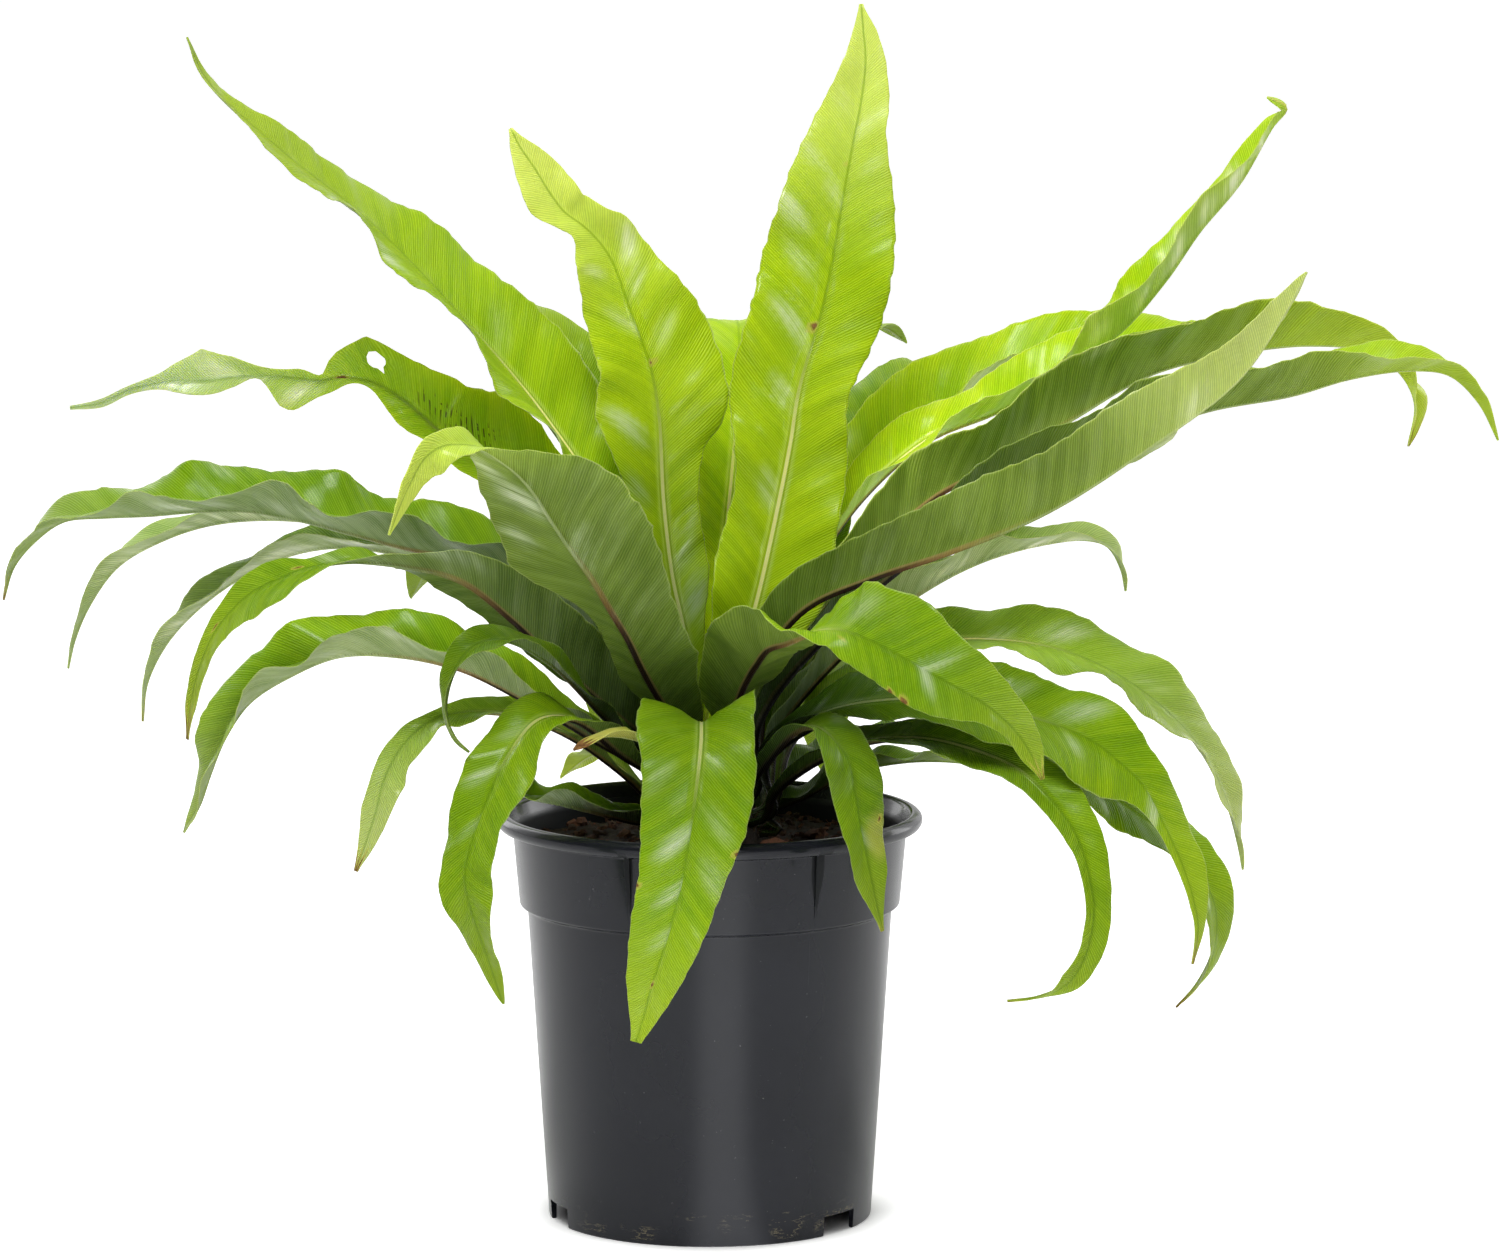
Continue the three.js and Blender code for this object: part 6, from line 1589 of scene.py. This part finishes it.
def pot_material():
    """Moulded charcoal plastic: glossy, painted shade under the lip and inside, lime threads near the
    foot.
    """
    material, tree, shader = new_material("pot_plastic")
    place = coordinates(tree)
    split = tree.nodes.new("ShaderNodeSeparateXYZ")
    tree.links.new(place, split.inputs[0])
    across, deep, height = split.outputs
    across = less(tree, across, PLANT_SHIFT[0] * MM)
    deep = less(tree, deep, PLANT_SHIFT[1] * MM)
    out = math_node(tree, "SQRT", added(tree, times(tree, across, across), times(tree, deep, deep)))
    turn = math_node(tree, "ARCTAN2", deep, across)
    cloud = ramp(tree, noise_at(tree, place, 14.0, 4.0, 0.6), 0.3, 0.75)
    colour = mix(tree, cloud, PLASTIC_DARK, PLASTIC_LIGHT)
    fleck = ramp(tree, noise_at(tree, place, 700.0, 2.0), 0.74, 0.8)
    colour = mix(tree, times(tree, fleck, 0.3), colour, PLASTIC_FLECK)

    # Painted shade: dark wedges that taper downward below the lip, without coat.
    lip = POT_HEIGHT - LIP_HEIGHT
    from_top = ramp(tree, height, (lip - LUG_HEIGHT) * MM, (lip - 8.0) * MM)
    wedge = None
    for angle, width in LUGS:
        reach = times(tree, from_top, math.radians(width * 0.62))
        away = math_node(tree, "ABSOLUTE", less(tree, turn, math.radians(angle)))
        part = ramp(tree, less(tree, away, reach), 0.003, -0.006)
        wedge = part if wedge is None else math_node(tree, "MAXIMUM", wedge, part)
    wedge = times(tree, wedge, ramp(tree, out, *LUG_SHADE_RADIUS))
    wedge = times(tree, wedge, ramp(tree, height, (lip + 3.0) * MM, lip * MM))
    # Inside the wall, painted shade darkens the plastic and takes its shine off.
    wall = less(tree, out, times(tree, height, WALL_SLOPE))
    inside = times(tree, ramp(tree, wall, *INNER_WALL), ramp(tree, height, *INNER_HEIGHT))
    shade_and_dull = math_node(tree, "MAXIMUM", inside, wedge)
    colour = mix(tree, times(tree, shade_and_dull, 0.8), colour, PLASTIC_PAINTED_SHADE)

    # Threads of lime lie flat in a band above the foot.
    stretched = tree.nodes.new("ShaderNodeVectorMath")
    stretched.operation = "MULTIPLY"
    stretched.inputs[1].default_value = (1.0, 1.0, 5.0)
    tree.links.new(place, stretched.inputs[0])
    thread = noise_at(tree, stretched.outputs[0], 34.0, 6.0, 0.65)
    thread = math_node(tree, "ABSOLUTE", less(tree, thread, 0.5))
    thread = ramp(tree, thread, 0.008, 0.002)
    where = ramp(tree, noise_at(tree, place, 55.0, 2.0), 0.46, 0.6)
    low = times(tree, ramp(tree, height, *LIME_TOP), ramp(tree, height, *LIME_FOOT))
    lime = times(tree, times(tree, low, where), thread)
    colour = mix(tree, times(tree, lime, 0.7), colour, LIME)
    tree.links.new(colour, shader.inputs["Base Color"])

    scuff = noise_at(tree, place, 60.0, 6.0, 0.7)
    rough = added(tree, times(tree, scuff, 0.1), 0.2)
    rough = added(tree, rough, times(tree, math_node(tree, "MAXIMUM", lime, shade_and_dull), 0.3))
    tree.links.new(rough, shader.inputs["Roughness"])
    coat = times(tree, less(tree, 1.0, shade_and_dull), 0.25)
    tree.links.new(coat, shader.inputs["Coat Weight"])
    shader.inputs["Coat Roughness"].default_value = 0.1
    shader.inputs["Specular IOR Level"].default_value = 0.26
    shader.inputs["Specular Tint"].default_value = (0.93, 0.95, 1.0, 1.0)
    bump(tree, shader, noise_at(tree, place, 500.0, 3.0), 0.06, 0.0003)
    return material


# Studio

def studio_floor():
    """A plain pale floor that stays dark under the pot."""
    deselect_all()
    bpy.ops.mesh.primitive_plane_add(size=60.0, location=(0.0, 0.0, 0.0))
    floor = bpy.context.object
    floor.name = "studio_floor"
    material, tree, shader = new_material("studio_floor")
    shader.inputs["Base Color"].default_value = (0.93, 0.93, 0.93, 1.0)
    shader.inputs["Roughness"].default_value = 0.6
    shader.inputs["Emission Color"].default_value = (1.0, 1.0, 1.0, 1.0)
    camera_ray = tree.nodes.new("ShaderNodeLightPath").outputs["Is Camera Ray"]
    away = tree.nodes.new("ShaderNodeVectorMath")
    away.operation = "DISTANCE"
    away.inputs[1].default_value = (PLANT_SHIFT[0] * MM, PLANT_SHIFT[1] * MM, 0.0)
    tree.links.new(coordinates(tree), away.inputs[0])
    away = away.outputs["Value"]
    open_floor = ramp(tree, away, *FLOOR_SHADOW)
    glow = times(tree, times(tree, camera_ray, open_floor), SEEN_FLOOR_GLOW - FLOOR_GLOW)
    glow = added(tree, glow, times(tree, open_floor, FLOOR_GLOW))
    # The floor glows in a fan in front of the pot, unseen by the camera, as a bright sheet would:
    # the pot shows it as a pale band.
    split = tree.nodes.new("ShaderNodeSeparateXYZ")
    tree.links.new(coordinates(tree), split.inputs[0])
    right = less(tree, split.outputs[0], PLANT_SHIFT[0] * MM)
    front = less(tree, PLANT_SHIFT[1] * MM, split.outputs[1])
    turn = less(tree, math_node(tree, "ARCTAN2", right, front), SHEET_TURN)
    sheet = times(tree, ramp(tree, math_node(tree, "ABSOLUTE", turn), SHEET_SPREAD, 0.1),
                  ramp(tree, away, *SHEET_REACH))
    sheet = times(tree, sheet, less(tree, 1.0, camera_ray))
    glow = added(tree, glow, times(tree, sheet, SHEET_GLOW))
    tree.links.new(glow, shader.inputs["Emission Strength"])
    floor.data.materials.append(material)


def studio_room():
    """White to the camera, and to the leaves dim in front and bright behind."""
    world = bpy.data.worlds.new("studio")
    world.use_nodes = True
    tree = world.node_tree
    split = tree.nodes.new("ShaderNodeSeparateXYZ")
    tree.links.new(tree.nodes.new("ShaderNodeTexCoord").outputs["Generated"], split.inputs[0])
    rear = ramp(tree, split.outputs[1], -0.1, 0.45)
    glow = added(tree, times(tree, rear, WORLD_REAR - WORLD_FRONT), WORLD_FRONT)
    seen = tree.nodes.new("ShaderNodeLightPath").outputs["Is Camera Ray"]
    background = tree.nodes["Background"]
    tree.links.new(math_node(tree, "MAXIMUM", glow, seen), background.inputs["Strength"])
    background.inputs["Color"].default_value = (1.0, 1.0, 1.0, 1.0)
    bpy.context.scene.world = world


def softbox(name, place, width, height, watts):
    lamp = bpy.data.lights.new(name, "AREA")
    lamp.shape = "RECTANGLE"
    lamp.size = width
    lamp.size_y = height
    lamp.energy = watts
    holder = bpy.data.objects.new(name, lamp)
    holder.location = place
    aim = Vector(SOFTBOX_AIM) - Vector(place)
    holder.rotation_euler = aim.to_track_quat("-Z", "Y").to_euler()
    bpy.context.collection.objects.link(holder)


def studio_camera():
    camera = bpy.data.cameras.new("camera")
    camera.sensor_width = 36.0
    camera.lens = CAMERA_LENS
    camera.clip_end = 100.0
    holder = bpy.data.objects.new("camera", camera)
    holder.location = CAMERA_PLACE
    holder.rotation_euler = (math.radians(90.0 - CAMERA_DOWN), 0.0, 0.0)
    bpy.context.collection.objects.link(holder)
    bpy.context.scene.camera = holder
    bpy.context.scene.view_settings.view_transform = "Standard"


make_pot(pot_material())
grit = grit_group()
make_soil(gritty_material("peat", grit, PEAT, BARK, 0.9))
make_crown(gritty_material("rhizome", grit, CROWN_DARK, CROWN_SCALE, 0.75))
veins = vein_group()
blade = blade_group()
leaf_materials = {
    name: leaf_material(name, finish, veins, blade) for name, finish in LEAF_FINISHES.items()}
for number, row in enumerate(FRONDS):
    look = {**PLAIN_LOOK, **LOOKS.get(row["name"], {})}
    piece = frond({**PROFILE, **row}, look, number)
    hand_over(piece, "frond_" + row["name"], leaf_materials[look["slot"]])
studio_floor()
studio_room()
for name, place, width, height, watts in SOFTBOXES:
    softbox(name, place, width, height, watts)
studio_camera()
